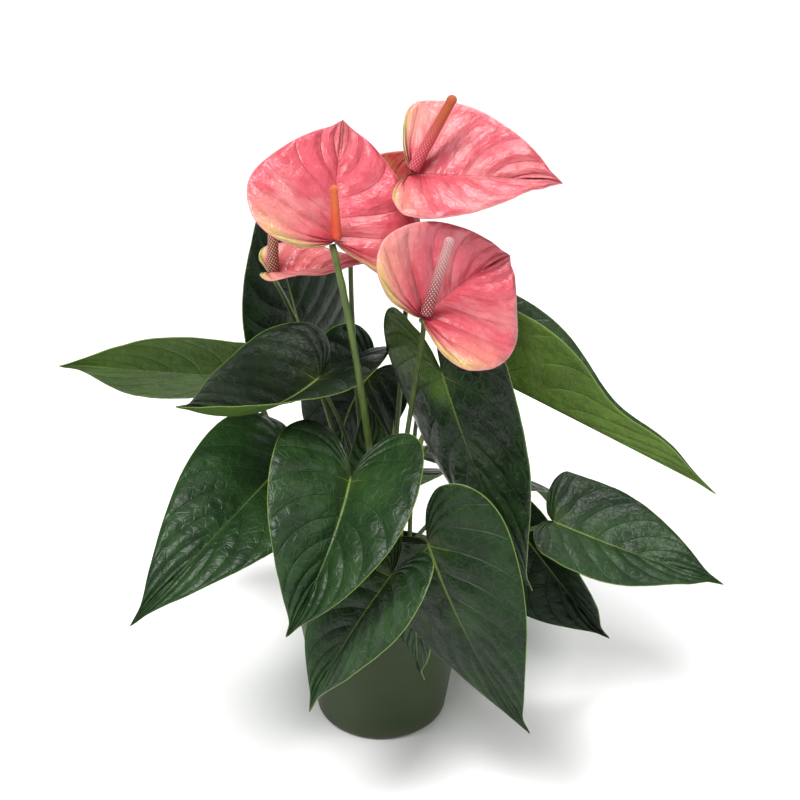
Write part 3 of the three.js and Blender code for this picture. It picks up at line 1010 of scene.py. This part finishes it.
@dataclass(frozen=True)
class Soil:
    """Peat mound in the pot, with bark and perlite lying on it."""

    pot: Pot
    headspace: float = 13.0
    mound: float = 3.0
    gap: float = 0.3
    segments: int = 120
    rings: int = 46
    bark: int = 420
    perlite: int = 70
    lump: float = 14.0
    lump_height: float = 0.8
    lump_seed: int = 5

    def top(self) -> float:
        """Height of the soil at the wall."""
        return self.pot.height - self.headspace

    def reach(self) -> float:
        """Radius of the soil at its top."""
        return self.pot.radius(self.top()) - self.pot.wall - self.gap

    def drop(self, radius: Array | float) -> Array:
        """How far the mound lies below its middle: slowly to half way out, then faster."""
        half = self.reach() * 0.5
        inner = np.minimum(radius / half, 1.0) * self.mound * 0.3
        return inner + np.maximum(radius / half - 1.0, 0.0) * self.mound * 0.7

    def lumps(self, x: Array, y: Array) -> Array:
        """How far the rough top stands over the smooth mound."""
        return ripple(x, y, self.lump, self.lump_seed) * self.lump_height

    def build(self) -> bpy.types.Object:
        """Turns the soil's outline and roughens its top.

        Returns:
            The soil.
        """
        foot = self.pot.floor + self.gap
        out = np.linspace(self.reach(), 1.2, self.rings)
        dome = np.stack([out, self.top() + self.mound - self.drop(out)], 1)
        side = np.array([[self.pot.radius(5.0) - 8.0, foot],
                         [self.pot.radius(8.0) - 2.2, foot + 4.0]])

        def rough(points: Array) -> Array:
            """Lifts the top by waves of 3 to 14 mm, fading to none at the wall."""
            radius = np.hypot(points[:, 0], points[:, 1])
            share = smooth(self.top() - 4.0, self.top() - 0.5, points[:, 2])
            share = share * smooth(self.reach(), self.reach() - 3.0, radius)
            points = points.copy()
            points[:, 2] += share * self.lumps(points[:, 0], points[:, 1])
            return points

        return turned("soil_mound", np.vstack([side, dome]), self.segments, rough)

    def crumbs(self, name: str, count: int, size: Pair, flat: float, seed: int) -> bpy.types.Object:
        """Scatters small rounded chips over the mound as one mesh.

        Each chip is a coarse ball, stretched, turned and dented at random.

        Args:
            name: the piece's name.
            count: how many chips.
            size: smallest and largest half length.
            flat: thickness over length.
            seed: chooses the scatter.

        Returns:
            The chips.
        """
        rng = np.random.default_rng(seed)
        sides = 6
        turn = np.arange(sides) / sides * 2 * math.pi
        level, around = np.meshgrid(np.linspace(-1.2, 1.2, 4), turn, indexing="ij")
        ball = np.stack([np.cos(level) * np.cos(around), np.cos(level) * np.sin(around),
                         np.sin(level)], 2)
        ball = np.vstack([ball.reshape(-1, 3), [[0, 0, -1], [0, 0, 1]]])
        faces = ring_faces(4, sides)
        half = rng.uniform(*size, count)[:, None, None]
        scale = rng.uniform([0.9, 0.45, flat * 0.7], [1.1, 0.8, flat * 1.3], (count, 3))[:, None, :]
        chips = ball[None] * scale * half * (1 + rng.normal(0, 0.13, (count, len(ball), 1)))
        spin, tilt = rng.uniform(0, 2 * math.pi, count), rng.normal(0, 0.35, count)
        c, s, ct, st = np.cos(spin), np.sin(spin), np.cos(tilt), np.sin(tilt)
        zero = np.zeros(count)
        turn = np.stack([np.stack([c, -s * ct, s * st], 1), np.stack([s, c * ct, -c * st], 1),
                         np.stack([zero, st, ct], 1)], 1)
        chips = np.einsum("nij,nkj->nki", turn, chips)
        radius = np.sqrt(rng.uniform(0.0, 1.0, count)) * (self.reach() - 5.0)
        angle = rng.uniform(0, 2 * math.pi, count)
        spot = np.stack([radius * np.cos(angle), radius * np.sin(angle), zero], 1)
        lift = self.lumps(spot[:, 0], spot[:, 1]) + half[:, 0, 0] * flat * 0.35
        spot[:, 2] = self.top() + self.mound - self.drop(radius) + lift
        chips = chips + spot[:, None, :]
        shift = (np.arange(count) * len(ball))[:, None, None]
        return make_mesh(name, chips.reshape(-1, 3) * MM, (faces[None] + shift).reshape(-1, 4))

    def dress(self) -> None:
        """Builds the mound and its crumbs and hands them to the frame."""
        place(self.build(), Skin.SOIL, "soil", "soil")
        place(self.crumbs("soil_bark", self.bark, (0.9, 3.4), 0.42, 11), Skin.BARK, "soil")
        place(self.crumbs("soil_perlite", self.perlite, (0.5, 1.3), 0.8, 12), Skin.PERLITE, "soil")


# ---- Blades and stems ----
class Outline(Enum):
    """Half outlines, from the sinus round the lobe to the tip: along / length, out / half width."""

    LEAF = ((0, 0), (-0.09, 0.05), (-0.19, 0.16), (-0.27, 0.42), (-0.245, 0.74), (-0.09, 0.97),
            (0.14, 1.0), (0.38, 0.87), (0.60, 0.62), (0.79, 0.32), (0.91, 0.11), (1, 0))
    SPATHE = ((0, 0), (-0.05, 0.06), (-0.13, 0.20), (-0.20, 0.47), (-0.18, 0.79), (-0.03, 0.98),
              (0.18, 1.0), (0.42, 0.86), (0.66, 0.60), (0.85, 0.31), (0.95, 0.11), (1, 0))


@dataclass(frozen=True)
class Rod:
    """A spadix's length, foot radius and stance. taper is its tip's share of its foot radius."""

    length: float
    radius: float
    heading: float
    pitch: float
    skin: Skin
    relief: float = 0.32
    taper: float = 0.72
    rings: int = 150
    sides: int = 72


@dataclass(frozen=True)
class Blade:
    """A leaf or a spathe, with the stem that carries it.

    at is its base. turn is its heading, pitch and roll. fold, arch and lobes are (left, right): the
    angle at which a side leaves the midrib, how far it bends back, and the back lobe's share of the
    outline's. droop, sway and twist bend the midrib down, bend it left and turn the sides round it.
    slim narrows the outer half. foot is the stem's place on the spiral, stem its heading and slope
    where it meets the blade, and rise and reach how long it holds its first and last direction.
    """

    name: str
    at: Triple
    turn: Triple
    size: Pair
    fold: Pair
    arch: Pair
    droop: float
    sway: float
    twist: float
    foot: int
    stem: Pair
    rise: float = 0.12
    reach: float = 0.12
    slim: float = 0.0
    lobes: Pair = (1.0, 1.0)
    radius: float = 1.5
    skin: Skin = Skin.MATURE
    rod: Rod | None = None

    def bent(self, x: Array, y: Array, side: int) -> Array:
        """The place of flat points once the blade is bent.

        Along the midrib the blade follows an arc that turns by droop. Across, each side follows an
        arc that starts at fold and turns back by arch, turned about the midrib by twist.

        Args:
            x: along the midrib.
            y: out from the midrib.
            side: 1 for the left side, -1 for the right.

        Returns:
            One row for each point, in millimetres, in the blade's own axes.
        """
        length, half = self.size[0], self.size[1] / 2
        u = x / length
        ahead = np.maximum(u, 0.0)
        droop = math.radians(self.droop)
        along_share, up_share = bend(ahead, 0.0, -droop)
        slope = -droop * ahead
        pick = 0 if side > 0 else 1
        narrow = 1 - self.slim * np.exp(-(((u - 0.6) / 0.22) ** 2))
        out_share, lift_share = bend(
            y * narrow / half, math.radians(self.fold[pick]), -math.radians(self.arch[pick]))
        out, lift = side * out_share * half, lift_share * half
        twist = math.radians(self.twist) * ahead
        across = out * np.cos(twist) - lift * np.sin(twist)
        above = out * np.sin(twist) + lift * np.cos(twist)
        return np.stack([
            along_share * length + np.minimum(x, 0) - above * np.sin(slope),
            across + length * math.radians(self.sway) / 2 * ahead**2,
            up_share * length + above * np.cos(slope),
        ], -1)

    def normal(self, x: Array, y: Array, side: int) -> Array:
        """The upper side's normal: the cross product of small steps along and across."""
        step = 0.2
        along = self.bent(x + step, y, side) - self.bent(x - step, y, side)
        across = self.bent(x, y + step, side) - self.bent(x, np.maximum(y - step, 0), side)
        cross = np.cross(along, across) * side
        return unit(cross)

    def seat(self, axis: Array) -> tuple[Array, float]:
        """The base's upward direction, and the sine of the angle between it and an axis."""
        up = turn_matrix(*self.turn) @ np.array([0.0, 0.0, 1.0])
        return up, math.sqrt(max(1 - float(axis @ up) ** 2, 0.0))


@dataclass(frozen=True)
class BladeShape:
    """How finely blades are made, and the small relief that they share."""

    outline: Outline
    thickness: float
    veining: Veining
    quilt: float
    wave: float
    rows: int = 96
    columns: int = 22
    lobe_share: float = 0.38
    tail: float = 3.5
    tail_droop: float = 20.0

    def side(self, blade: Blade, side: int) -> tuple[Array, Array, Array, Array]:
        """One side of a blade as a grid.

        Rows run out from the midrib: as a fan round the base over the lobe, then as a ladder along
        the midrib to the tip.

        Args:
            blade: the blade.
            side: 1 for the left side, -1 for the right.

        Returns:
            Places, normals, (around, out) and (along, across), each over rows and columns.
        """
        t = np.arange(1, self.rows + 1) / self.rows
        edge = spline(np.array(self.outline.value, dtype=float), t)
        lobe = blade.lobes[0 if side > 0 else 1]
        edge[:, 0] = np.where(edge[:, 0] < 0, edge[:, 0] * lobe, edge[:, 0])
        foot = np.maximum((t - self.lobe_share) / (1 - self.lobe_share), 0.0)
        share = np.linspace(0, 1, self.columns + 1)[None, :]
        x = (foot[:, None] + (edge[:, :1] - foot[:, None]) * share) * blade.size[0]
        y = np.maximum(edge[:, 1:], 0) * share * blade.size[1] / 2
        places, normals = blade.bent(x, y, side), blade.normal(x, y, side)
        around = np.broadcast_to(t[:, None], x.shape)
        out = np.broadcast_to(share, x.shape)
        seed = sum(map(ord, blade.name))
        steps = (around - self.veining.lean * out + 1) * self.veining.count
        phase = np.abs(np.modf(steps)[0] - 0.5) * 2
        pillow = (1 - phase**2) * smooth(0.0, 0.25, out) * smooth(1.0, 0.85, out)
        pillow = pillow * smooth(1.0, 0.9, around)
        hem = np.sin(around * 17 + seed) + 0.6 * np.sin(around * 29 + 2 * seed * side)
        hem = self.wave * out**3 * hem * smooth(0.02, 0.2, around) * smooth(1, 0.8, around)
        dents = 0.5 * self.quilt * ripple(x, y * side, 30.0, seed) * smooth(0.0, 0.3, out)
        places = places + normals * (self.quilt * pillow + hem + dents)[..., None]
        tail = smooth(0.93, 1.0, x / blade.size[0])[..., None] * self.tail
        fall = math.radians(blade.droop + self.tail_droop)
        ahead = np.array([math.cos(fall), math.radians(blade.sway), -math.sin(fall)])
        places = places + tail * ahead
        return places, normals, np.stack([around, out], -1), np.stack([x, y * side], -1)

    def mesh(self, blade: Blade, name: str) -> bpy.types.Object:
        """A blade as a closed shell, thinner towards its margin.

        Args:
            blade: the blade.
            name: the piece's name.

        Returns:
            The object, in the plant's place.
        """
        grids = [self.side(blade, side) for side in (1, -1)]
        places, normals, veins, spread = (
            np.concatenate([grid[k].reshape(-1, grid[k].shape[-1]) for grid in grids])
            for k in range(4))
        quads = grid_quads(self.rows, self.columns + 1)[:, ::-1]
        faces = np.vstack([quads, quads[:, ::-1] + self.rows * (self.columns + 1)])
        _, first, back = np.unique(np.round(spread, 4), axis=0, return_index=True,
                                   return_inverse=True)
        back = back.ravel()
        count = len(first)

        def gathered(rows: Array) -> Array:
            """The sum of the rows that share a place on the blade."""
            total = np.zeros((count, 3))
            np.add.at(total, back, rows)
            return total

        def mapped(rows: Array, edge: Array) -> Array:
            """A map's rows for the upper face, the lower face and the edge."""
            upper = rows[faces.ravel()]
            return np.vstack([upper, upper.reshape(-1, 4, 2)[:, ::-1].reshape(-1, 2), edge])

        middle = gathered(places) / np.bincount(back)[:, None]
        thin = 1 - 0.5 * smooth(0.2, 1.0, veins[first, 1])
        step = unit(gathered(normals)) * (self.thickness / 2 * thin[:, None])
        welded = back[faces]
        rim = self.rim(welded)
        walls = np.stack([rim[:, 1], rim[:, 0], rim[:, 0] + count, rim[:, 1] + count], 1)
        shell = np.vstack([middle + step, middle - step])
        world = shell @ turn_matrix(*blade.turn).T + np.array(blade.at) + SOIL_MIDDLE
        return make_mesh(name, world * MM, np.vstack([welded, welded[:, ::-1] + count, walls]),
                         {"veins": mapped(veins, np.tile([[0.5, 1.0]], (walls.size, 1))),
                          "spread": mapped(spread, spread[first][(walls % count).ravel()])},
                         {"under": np.r_[np.zeros(count), np.ones(count)]})

    @staticmethod
    def rim(faces: Array) -> Array:
        """Edges that only one face uses, as ordered pairs of corners."""
        pairs = np.vstack([np.stack([faces[:, c], faces[:, (c + 1) % 4]], 1) for c in range(4)])
        pairs = pairs[pairs[:, 0] != pairs[:, 1]]
        keys = np.sort(pairs, axis=1)
        _, inverse, counts = np.unique(keys, axis=0, return_inverse=True, return_counts=True)
        return pairs[counts[inverse.ravel()] == 1]


LEAF = BladeShape(Outline.LEAF, 1.0, LEAF_VEINS, 0.55, 0.9)
SPATHE = BladeShape(Outline.SPATHE, 1.2, SPATHE_VEINS, 0.75, 1.1, tail=3.0)
POT = Pot()
SOIL = Soil(POT)
SOIL_MIDDLE = np.array([0.0, 0.0, SOIL.top() + SOIL.mound])
FOOT_SPACING = 4.2
GOLDEN_ANGLE = 137.5
SEAT_GAP = 0.3
ROOTED = 2.5
PALE_FROM, PALE_TO = 14.0, 4.0
TUBE_GUIDE = np.array([0.31, 0.95, 0.0])


def stem_foot(order: int) -> Array:
    """A stem's foot: the spiral of a sunflower, each place 137.5 degrees on from the last."""
    radius = FOOT_SPACING * math.sqrt(order + 0.5)
    angle = math.radians(GOLDEN_ANGLE * order)
    drop = float(SOIL.drop(radius))
    return np.array([radius * math.cos(angle), radius * math.sin(angle), SEAT_GAP - drop])


def stem_path(blade: Blade, thickness: float, count: int = 60) -> Array:
    """The stem's middle line, a cubic from its foot upwards to the blade's underside.

    Args:
        blade: the blade that it carries.
        thickness: the blade's.
        count: points along it.

    Returns:
        Points in millimetres above the middle of the soil.
    """
    foot, base, arrival = stem_foot(blade.foot), np.array(blade.at), direction(*blade.stem)
    up, slant = blade.seat(arrival)
    end = base - up * (thickness / 2 + SEAT_GAP + blade.radius * slant)
    span = float(np.linalg.norm(end - foot))
    knots = [foot, foot + np.array([0, 0, span * blade.rise]),
             end - arrival * span * blade.reach, end]
    t = np.linspace(0, 1, count)[:, None]
    path = ((1 - t) ** 3 * knots[0] + 3 * (1 - t) ** 2 * t * knots[1]
            + 3 * (1 - t) * t**2 * knots[2] + t**3 * knots[3])
    return np.vstack([foot - [0, 0, ROOTED], path])


def tube(name: str, path: Array, radius: Array, sides: int = 20) -> bpy.types.Object:
    """A closed tube carried along a path, each ring turned as little as it can be.

    Args:
        name: the piece's name.
        path: middle line, in millimetres above the middle of the soil.
        radius: its radius at each point.
        sides: points round it.

    Returns:
        The object, with a UV map of turns and millimetres and an attribute that is 1 at its top.
    """
    tangent = unit(np.gradient(path, axis=0))
    across = unit(TUBE_GUIDE - (tangent @ TUBE_GUIDE)[:, None] * tangent)
    other = np.cross(tangent, across)
    angle = np.arange(sides) / sides * 2 * math.pi
    ring = (across[:, None] * np.cos(angle)[None, :, None]
            + other[:, None] * np.sin(angle)[None, :, None])
    points = (path[:, None] + ring * radius[:, None, None]).reshape(-1, 3)
    length = lengths(path)
    pale = smooth(PALE_FROM, PALE_TO, length[-1] - length)
    places = np.vstack([points, path[[0, -1]]]) + SOIL_MIDDLE
    return make_mesh(name, places * MM, ring_faces(len(path), sides),
                     {"stem": ring_map(length, sides)},
                     {"top": np.r_[np.repeat(pale, sides), 0.0, 1.0]})


@dataclass(frozen=True)
class Growth:
    """A leaf or a flower: its blade, its stem and, for a flower, its spadix."""

    blade: Blade
    shape: BladeShape
    words: tuple[str, str]
    slot: str

    def stem(self) -> bpy.types.Object:
        """The stem, flared at its foot and a little swollen under the blade.

        Returns:
            The tube.
        """
        path = stem_path(self.blade, self.shape.thickness)
        length = lengths(path)
        left = length[-1] - length
        flare = 1 + 0.45 * np.exp(-length / 5.0) + 0.10 * np.exp(-(((left - 7.0) / 4.0) ** 2))
        radius = self.blade.radius * flare * (1 - 0.10 * smooth(20, length[-1], length))
        return tube(f"{self.words[1]}_{self.blade.name}_form", path, radius)

    def spadix(self) -> bpy.types.Object:
        """The spadix: a rod that tapers to a round top, beaded where two spirals cross.

        Returns:
            The rod, in the plant's place.
        """
        rod = self.blade.rod
        v = np.linspace(0, 1, rod.rings)
        tip = rod.radius * rod.taper
        z = v * rod.length
        taper = rod.radius + (tip - rod.radius) * v
        dome = np.sqrt(np.clip(1 - ((z - rod.length + tip) / tip) ** 2, 0.0, 1.0))
        radius = np.where(z > rod.length - tip, taper * dome, taper) * smooth(-0.10, 0.05, v) ** 0.3
        angle = np.arange(rod.sides) / rod.sides
        turns, climbs = rod.skin.value.turns, rod.skin.value.climbs
        first = np.abs(np.modf(angle * turns[0] + v[:, None] * climbs[0])[0] - 0.5) * 2
        second = np.abs(np.modf(angle * turns[1] - v[:, None] * climbs[1] + 40)[0] - 0.5) * 2
        bead = smooth(0, 1, 1 - (first**2 + second**2) / 2) * rod.relief * dome[:, None]
        full = radius[:, None] + (bead - rod.relief * 0.5) * smooth(1.0, 0.96, v)[:, None]
        rings = ring_points(np.maximum(full, 0.01), z[:, None], rod.sides)
        axis = direction(rod.heading, rod.pitch)
        side = unit(np.cross(axis, [0.0, 1.0, 0.0]))
        frame = np.stack([side, np.cross(axis, side), axis])
        up, slant = self.blade.seat(axis)
        leans = slant + math.sin(math.radians(max(self.blade.fold)))
        lift = self.shape.thickness / 2 + SEAT_GAP + rod.radius * 0.85 * leans
        base = np.array(self.blade.at) + up * lift + SOIL_MIDDLE
        places = np.vstack([rings, [[0, 0, 0], [0, 0, rod.length]]]) @ frame + base
        return make_mesh(f"spadix_{self.blade.name}_form", places * MM,
                         ring_faces(rod.rings, rod.sides), {"rod": ring_map(v, rod.sides)})

    def dress(self) -> None:
        """Builds the blade, its stem and its spadix and hands them to the frame."""
        blade_word, stem_word = self.words
        name = self.blade.name
        form = self.shape.mesh(self.blade, f"{blade_word}_{name}_form")
        place(form, self.blade.skin, self.slot, f"{blade_word}_{name}")
        place(self.stem(), Skin.STEM, "stem", f"{stem_word}_{name}")
        if self.blade.rod is not None:
            kind = {Skin.YOUNG_ROD: "spadix_young", Skin.OPEN_ROD: "spadix_open"}
            place(self.spadix(), self.blade.rod.skin,
                  kind.get(self.blade.rod.skin, "spadix_ripe"), f"spadix_{name}")


@dataclass(frozen=True)
class Shoot:
    """A rolled young leaf that still stands as a shoot."""

    name: str
    tip: Triple
    foot: int
    radius: float

    def dress(self) -> None:
        """Builds the shoot as a tube that swells and then tapers to a point."""
        foot, tip = stem_foot(self.foot), np.array(self.tip)
        middle = np.array([foot[0], foot[1], (foot[2] + tip[2]) / 2])
        t = np.linspace(0, 1, 50)[:, None]
        path = (1 - t) ** 2 * foot + 2 * (1 - t) * t * middle + t**2 * tip
        share = t.ravel()
        swell = 0.85 + 0.25 * smooth(0.5, 0.85, share)
        radius = self.radius * swell * (1 - 0.93 * smooth(0.86, 1.0, share))
        place(tube(f"shoot_{self.name}_form", path, radius), Skin.SHOOT, "shoot",
              f"shoot_{self.name}")


# ---- The plant ----
LEAVES = (
    Blade("front", (-17, -72, 123), (-99, -23, -25), (101, 105),
          fold=(58, 25), arch=(10, 26), droop=54, sway=-8, twist=-3,
          foot=15, stem=(-100, 40)),
    Blade("left_low", (-61, -5, 99), (-107, 6, -29), (154, 101),
          fold=(31, 4), arch=(20, 17), droop=67, sway=-10, twist=4,
          foot=17, stem=(-180, 60), rise=0.55, lobes=(0.5, 1)),
    Blade("left_folded", (-39, -5, 158), (-120, -5, 2), (139, 97),
          fold=(27, 41), arch=(13, 25), droop=-42, sway=-3, twist=2,
          foot=12, stem=(-160, 60), rise=0.25, reach=0.45, skin=Skin.SHADED),
    Blade("far_left", (-68, 55, 129), (-150, 18, 40), (155, 111),
          fold=(12, 13), arch=(36, 6), droop=2, sway=3, twist=32,
          foot=9, stem=(20, 40), reach=0.45, lobes=(0.2, 0.2), skin=Skin.SHADED),
    Blade("upright_left", (-55, 103, 136), (68, 111, 54), (117, 97),
          fold=(22, -12), arch=(10, 12), droop=37, sway=-12, twist=-14,
          foot=14, stem=(-20, 15), reach=0.6, lobes=(0.2, 1), skin=Skin.SHADED),
    Blade("centre", (-8, 60, 129), (-167, -52, -8), (82, 91),
          fold=(1, 43), arch=(29, 20), droop=56, sway=-10, twist=-20,
          foot=6, stem=(100, 60), skin=Skin.SHADED),
    Blade("young", (-5, -19, 99), (100, 75, 0), (46, 36),
          fold=(35, 35), arch=(15, 15), droop=5, sway=0, twist=0,
          foot=7, stem=(-90, 83), rise=0.4, reach=0.3, radius=1.1, skin=Skin.YOUNG),
    Blade("right_hanging", (39, -34, 176), (-26, -71, 97), (159, 110),
          fold=(16, -4), arch=(13, 34), droop=12, sway=2, twist=6,
          foot=21, stem=(-80, 15), rise=0.4, reach=0.6, skin=Skin.TURNED_SHADED),
    Blade("far_right", (51, -5, 171), (-7, -26, -6), (178, 111),
          fold=(62, 70), arch=(10, 4), droop=-1, sway=-6, twist=-1,
          foot=16, stem=(-40, 77), rise=0.7, reach=0.6, slim=0.42, lobes=(0.7, 0.7),
          skin=Skin.OLIVE),
    Blade("right_low", (115, 0, 51), (-15, -18, 5), (114, 96),
          fold=(18, 18), arch=(11, 14), droop=-9, sway=-1, twist=22,
          foot=13, stem=(-60, 15), lobes=(0.35, 0.35)),
    Blade("right_shaded", (93, 45, 25), (-32, -47, 75), (107, 96),
          fold=(49, 26), arch=(11, 18), droop=17, sway=-1, twist=-4,
          foot=29, stem=(-180, -10), rise=0.55, lobes=(0.6, 0.6), skin=Skin.SHADED),
    Blade("front_right", (30, -98, 95), (-34, -68, 83), (133, 107),
          fold=(8, -2), arch=(22, 24), droop=8, sway=15, twist=5,
          foot=18, stem=(-80, 15), reach=0.45, lobes=(1, 0.2), skin=Skin.SHADED_DEEP),
    Blade("front_left", (8, -102, 75), (-154, -48, -9), (97, 84),
          fold=(27, 28), arch=(25, 20), droop=16, sway=0, twist=-2,
          foot=23, stem=(-40, 40), reach=0.3),
    Blade("front_small", (26, -66, 41), (-117, -69, 27), (59, 51),
          fold=(11, 11), arch=(18, 12), droop=25, sway=1, twist=7,
          foot=31, stem=(-80, -10), rise=0.55, radius=1.2),
    Blade("back_left", (-74, 76, 50), (145, -25, 0), (125, 90),
          fold=(15, 15), arch=(25, 25), droop=35, sway=0, twist=0,
          foot=22, stem=(80, 15), skin=Skin.SHADED),
    Blade("back", (5, 88, 38), (88, -25, 0), (130, 94),
          fold=(15, 15), arch=(25, 25), droop=30, sway=0, twist=0,
          foot=19, stem=(20, 15), skin=Skin.SHADED),
    Blade("back_right", (62, 78, 48), (42, -20, 0), (125, 88),
          fold=(15, 15), arch=(25, 25), droop=35, sway=0, twist=0,
          foot=11, stem=(100, 15), skin=Skin.SHADED),
)
FLOWERS = (
    Blade("first", (-24, -62, 272), (91, 32, 25), (82, 115),
          fold=(20, 14), arch=(17, 32), droop=-11, sway=-2, twist=-13,
          foot=2, stem=(120, 60), reach=0.3, radius=2.2, skin=Skin.PINK,
          rod=Rod(31, 3.1, 180, 88, Skin.YOUNG_ROD)),
    Blade("second", (21, -5, 292), (-7, 0, 20), (85, 99),
          fold=(29, 30), arch=(6, 37), droop=4, sway=4, twist=10,
          foot=0, stem=(-80, 77), reach=0.6, lobes=(0.5, 0.5), radius=1.7, skin=Skin.PINK,
          rod=Rod(50, 3.9, 0, 62, Skin.OPEN_ROD)),
    Blade("third", (26, -76, 231), (57, 12, 36), (84, 103),
          fold=(32, 24), arch=(1, 23), droop=0, sway=-12, twist=18,
          foot=5, stem=(-100, 15), rise=0.4, reach=0.2, radius=1.7, skin=Skin.PINK,
          rod=Rod(48, 3.7, 0, 74, Skin.MAROON_ROD)),
    Blade("fourth", (-65, 5, 225), (6, 0, -3), (58, 63),
          fold=(25, 26), arch=(11, 23), droop=-12, sway=0, twist=5,
          foot=4, stem=(-100, 40), reach=0.6, lobes=(0.7, 0.7), radius=1.6, skin=Skin.RIPE,
          rod=Rod(44, 3.9, 0, 88, Skin.DARK_ROD)),
    Blade("fifth", (-19, 26, 240), (20, 45, -80), (76, 84),
          fold=(15, 15), arch=(15, 15), droop=10, sway=0, twist=0,
          foot=1, stem=(0, 89), reach=0.4, lobes=(0.3, 0.3), radius=1.7, skin=Skin.RIPE,
          rod=Rod(42, 3.6, 100, 30, Skin.OPEN_ROD)),
)
SHOOTS = (Shoot("left", (9, -9, 132), 10, 1.4), Shoot("right", (31, 6, 124), 8, 1.8))


# ---- Studio ----
@dataclass(frozen=True)
class Lamp:
    """A square soft light, or a far-off one whose size is the angle that it fills."""

    name: str
    spot: Triple
    aim: Triple
    size: float
    power: float
    kind: str = "AREA"

    def build(self) -> None:
        """Hangs the lamp and points it."""
        data = bpy.data.lights.new(self.name, self.kind)
        setattr(data, "angle" if self.kind == "SUN" else "size", self.size)
        data.energy = self.power
        lamp = bpy.data.objects.new(self.name, data)
        lamp.location = self.spot
        toward = np.array(self.aim) - np.array(self.spot)
        flat = float(np.hypot(toward[0], toward[1]))
        lamp.rotation_euler = (math.atan2(flat, -toward[2]), 0.0, math.atan2(-toward[0], toward[1]))
        bpy.context.scene.collection.objects.link(lamp)


@dataclass(frozen=True)
class Studio:
    """Pale floor and backdrop, soft lamps and the camera."""

    spot: Triple = (0.013, -0.873, 0.670)
    tilt: float = 63.6
    lens: float = 68.9
    sensor: float = 36.0
    world: float = 0.28
    level: float = 3.2
    bowl: float = 0.08
    below: float = 0.0002
    lamps: tuple[Lamp, ...] = (
        Lamp("daylight", (-0.30, -0.60, 1.20), (0.0, 0.0, 0.0), 0.5, 2.9, "SUN"),
        Lamp("key", (-0.55, -0.60, 1.40), (0.0, 0.0, 0.25), 0.45, 7.0),
        Lamp("fill", (1.10, -0.40, 0.95), (0.0, 0.0, 0.25), 0.4, 3.0),
        Lamp("top", (0.25, 0.60, 1.30), (0.0, 0.0, 0.25), 0.5, 8.0),
    )

    def camera(self) -> None:
        """Sets the camera."""
        data = bpy.data.cameras.new("camera")
        data.lens = self.lens
        data.sensor_width = self.sensor
        camera = bpy.data.objects.new("camera", data)
        camera.location = self.spot
        camera.rotation_euler = (math.radians(self.tilt), 0.0, 0.0)
        bpy.context.scene.collection.objects.link(camera)
        bpy.context.scene.camera = camera

    def floor(self) -> None:
        """A wide disc just under the pot that is flat as far as level and rises beyond it.

        Past level, in metres, the height is bowl times the square of the distance past it.
        """
        sides = 64
        radius = np.r_[0.01, np.geomspace(0.05, self.level, 12), np.linspace(3.6, 9.0, 14)][:, None]
        height = self.bowl * np.maximum(radius - self.level, 0) ** 2 - self.below
        disc = make_mesh("floor", ring_points(radius, height, sides),
                         grid_quads(len(radius), sides, wrap=True))
        disc.data.materials.append(Skin.FLOOR.value.material())

    def light(self) -> None:
        """An even white surround and the lamps."""
        world = bpy.data.worlds.new("studio")
        world.use_nodes = True
        back = world.node_tree.nodes["Background"]
        back.inputs[0].default_value = (1.0, 1.0, 1.0, 1.0)
        back.inputs[1].default_value = self.world
        bpy.context.scene.world = world
        bpy.context.scene.view_settings.view_transform = "Standard"
        for lamp in self.lamps:
            lamp.build()

    def build(self) -> None:
        """Builds the camera, the floor and the lights."""
        self.camera()
        self.floor()
        self.light()


def main() -> None:
    """Builds every piece in order."""
    logging.basicConfig(level=logging.INFO, format="%(name)s: %(message)s")
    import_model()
    Studio().build()
    POT.dress(POT.build())
    SOIL.dress()
    for blade in LEAVES:
        Growth(blade, LEAF, ("leaf", "petiole"), "leaf").dress()
    for blade in FLOWERS:
        Growth(blade, SPATHE, ("spathe", "peduncle"), "spathe").dress()
    for shoot in SHOOTS:
        shoot.dress()


if __name__ == "__main__":
    main()
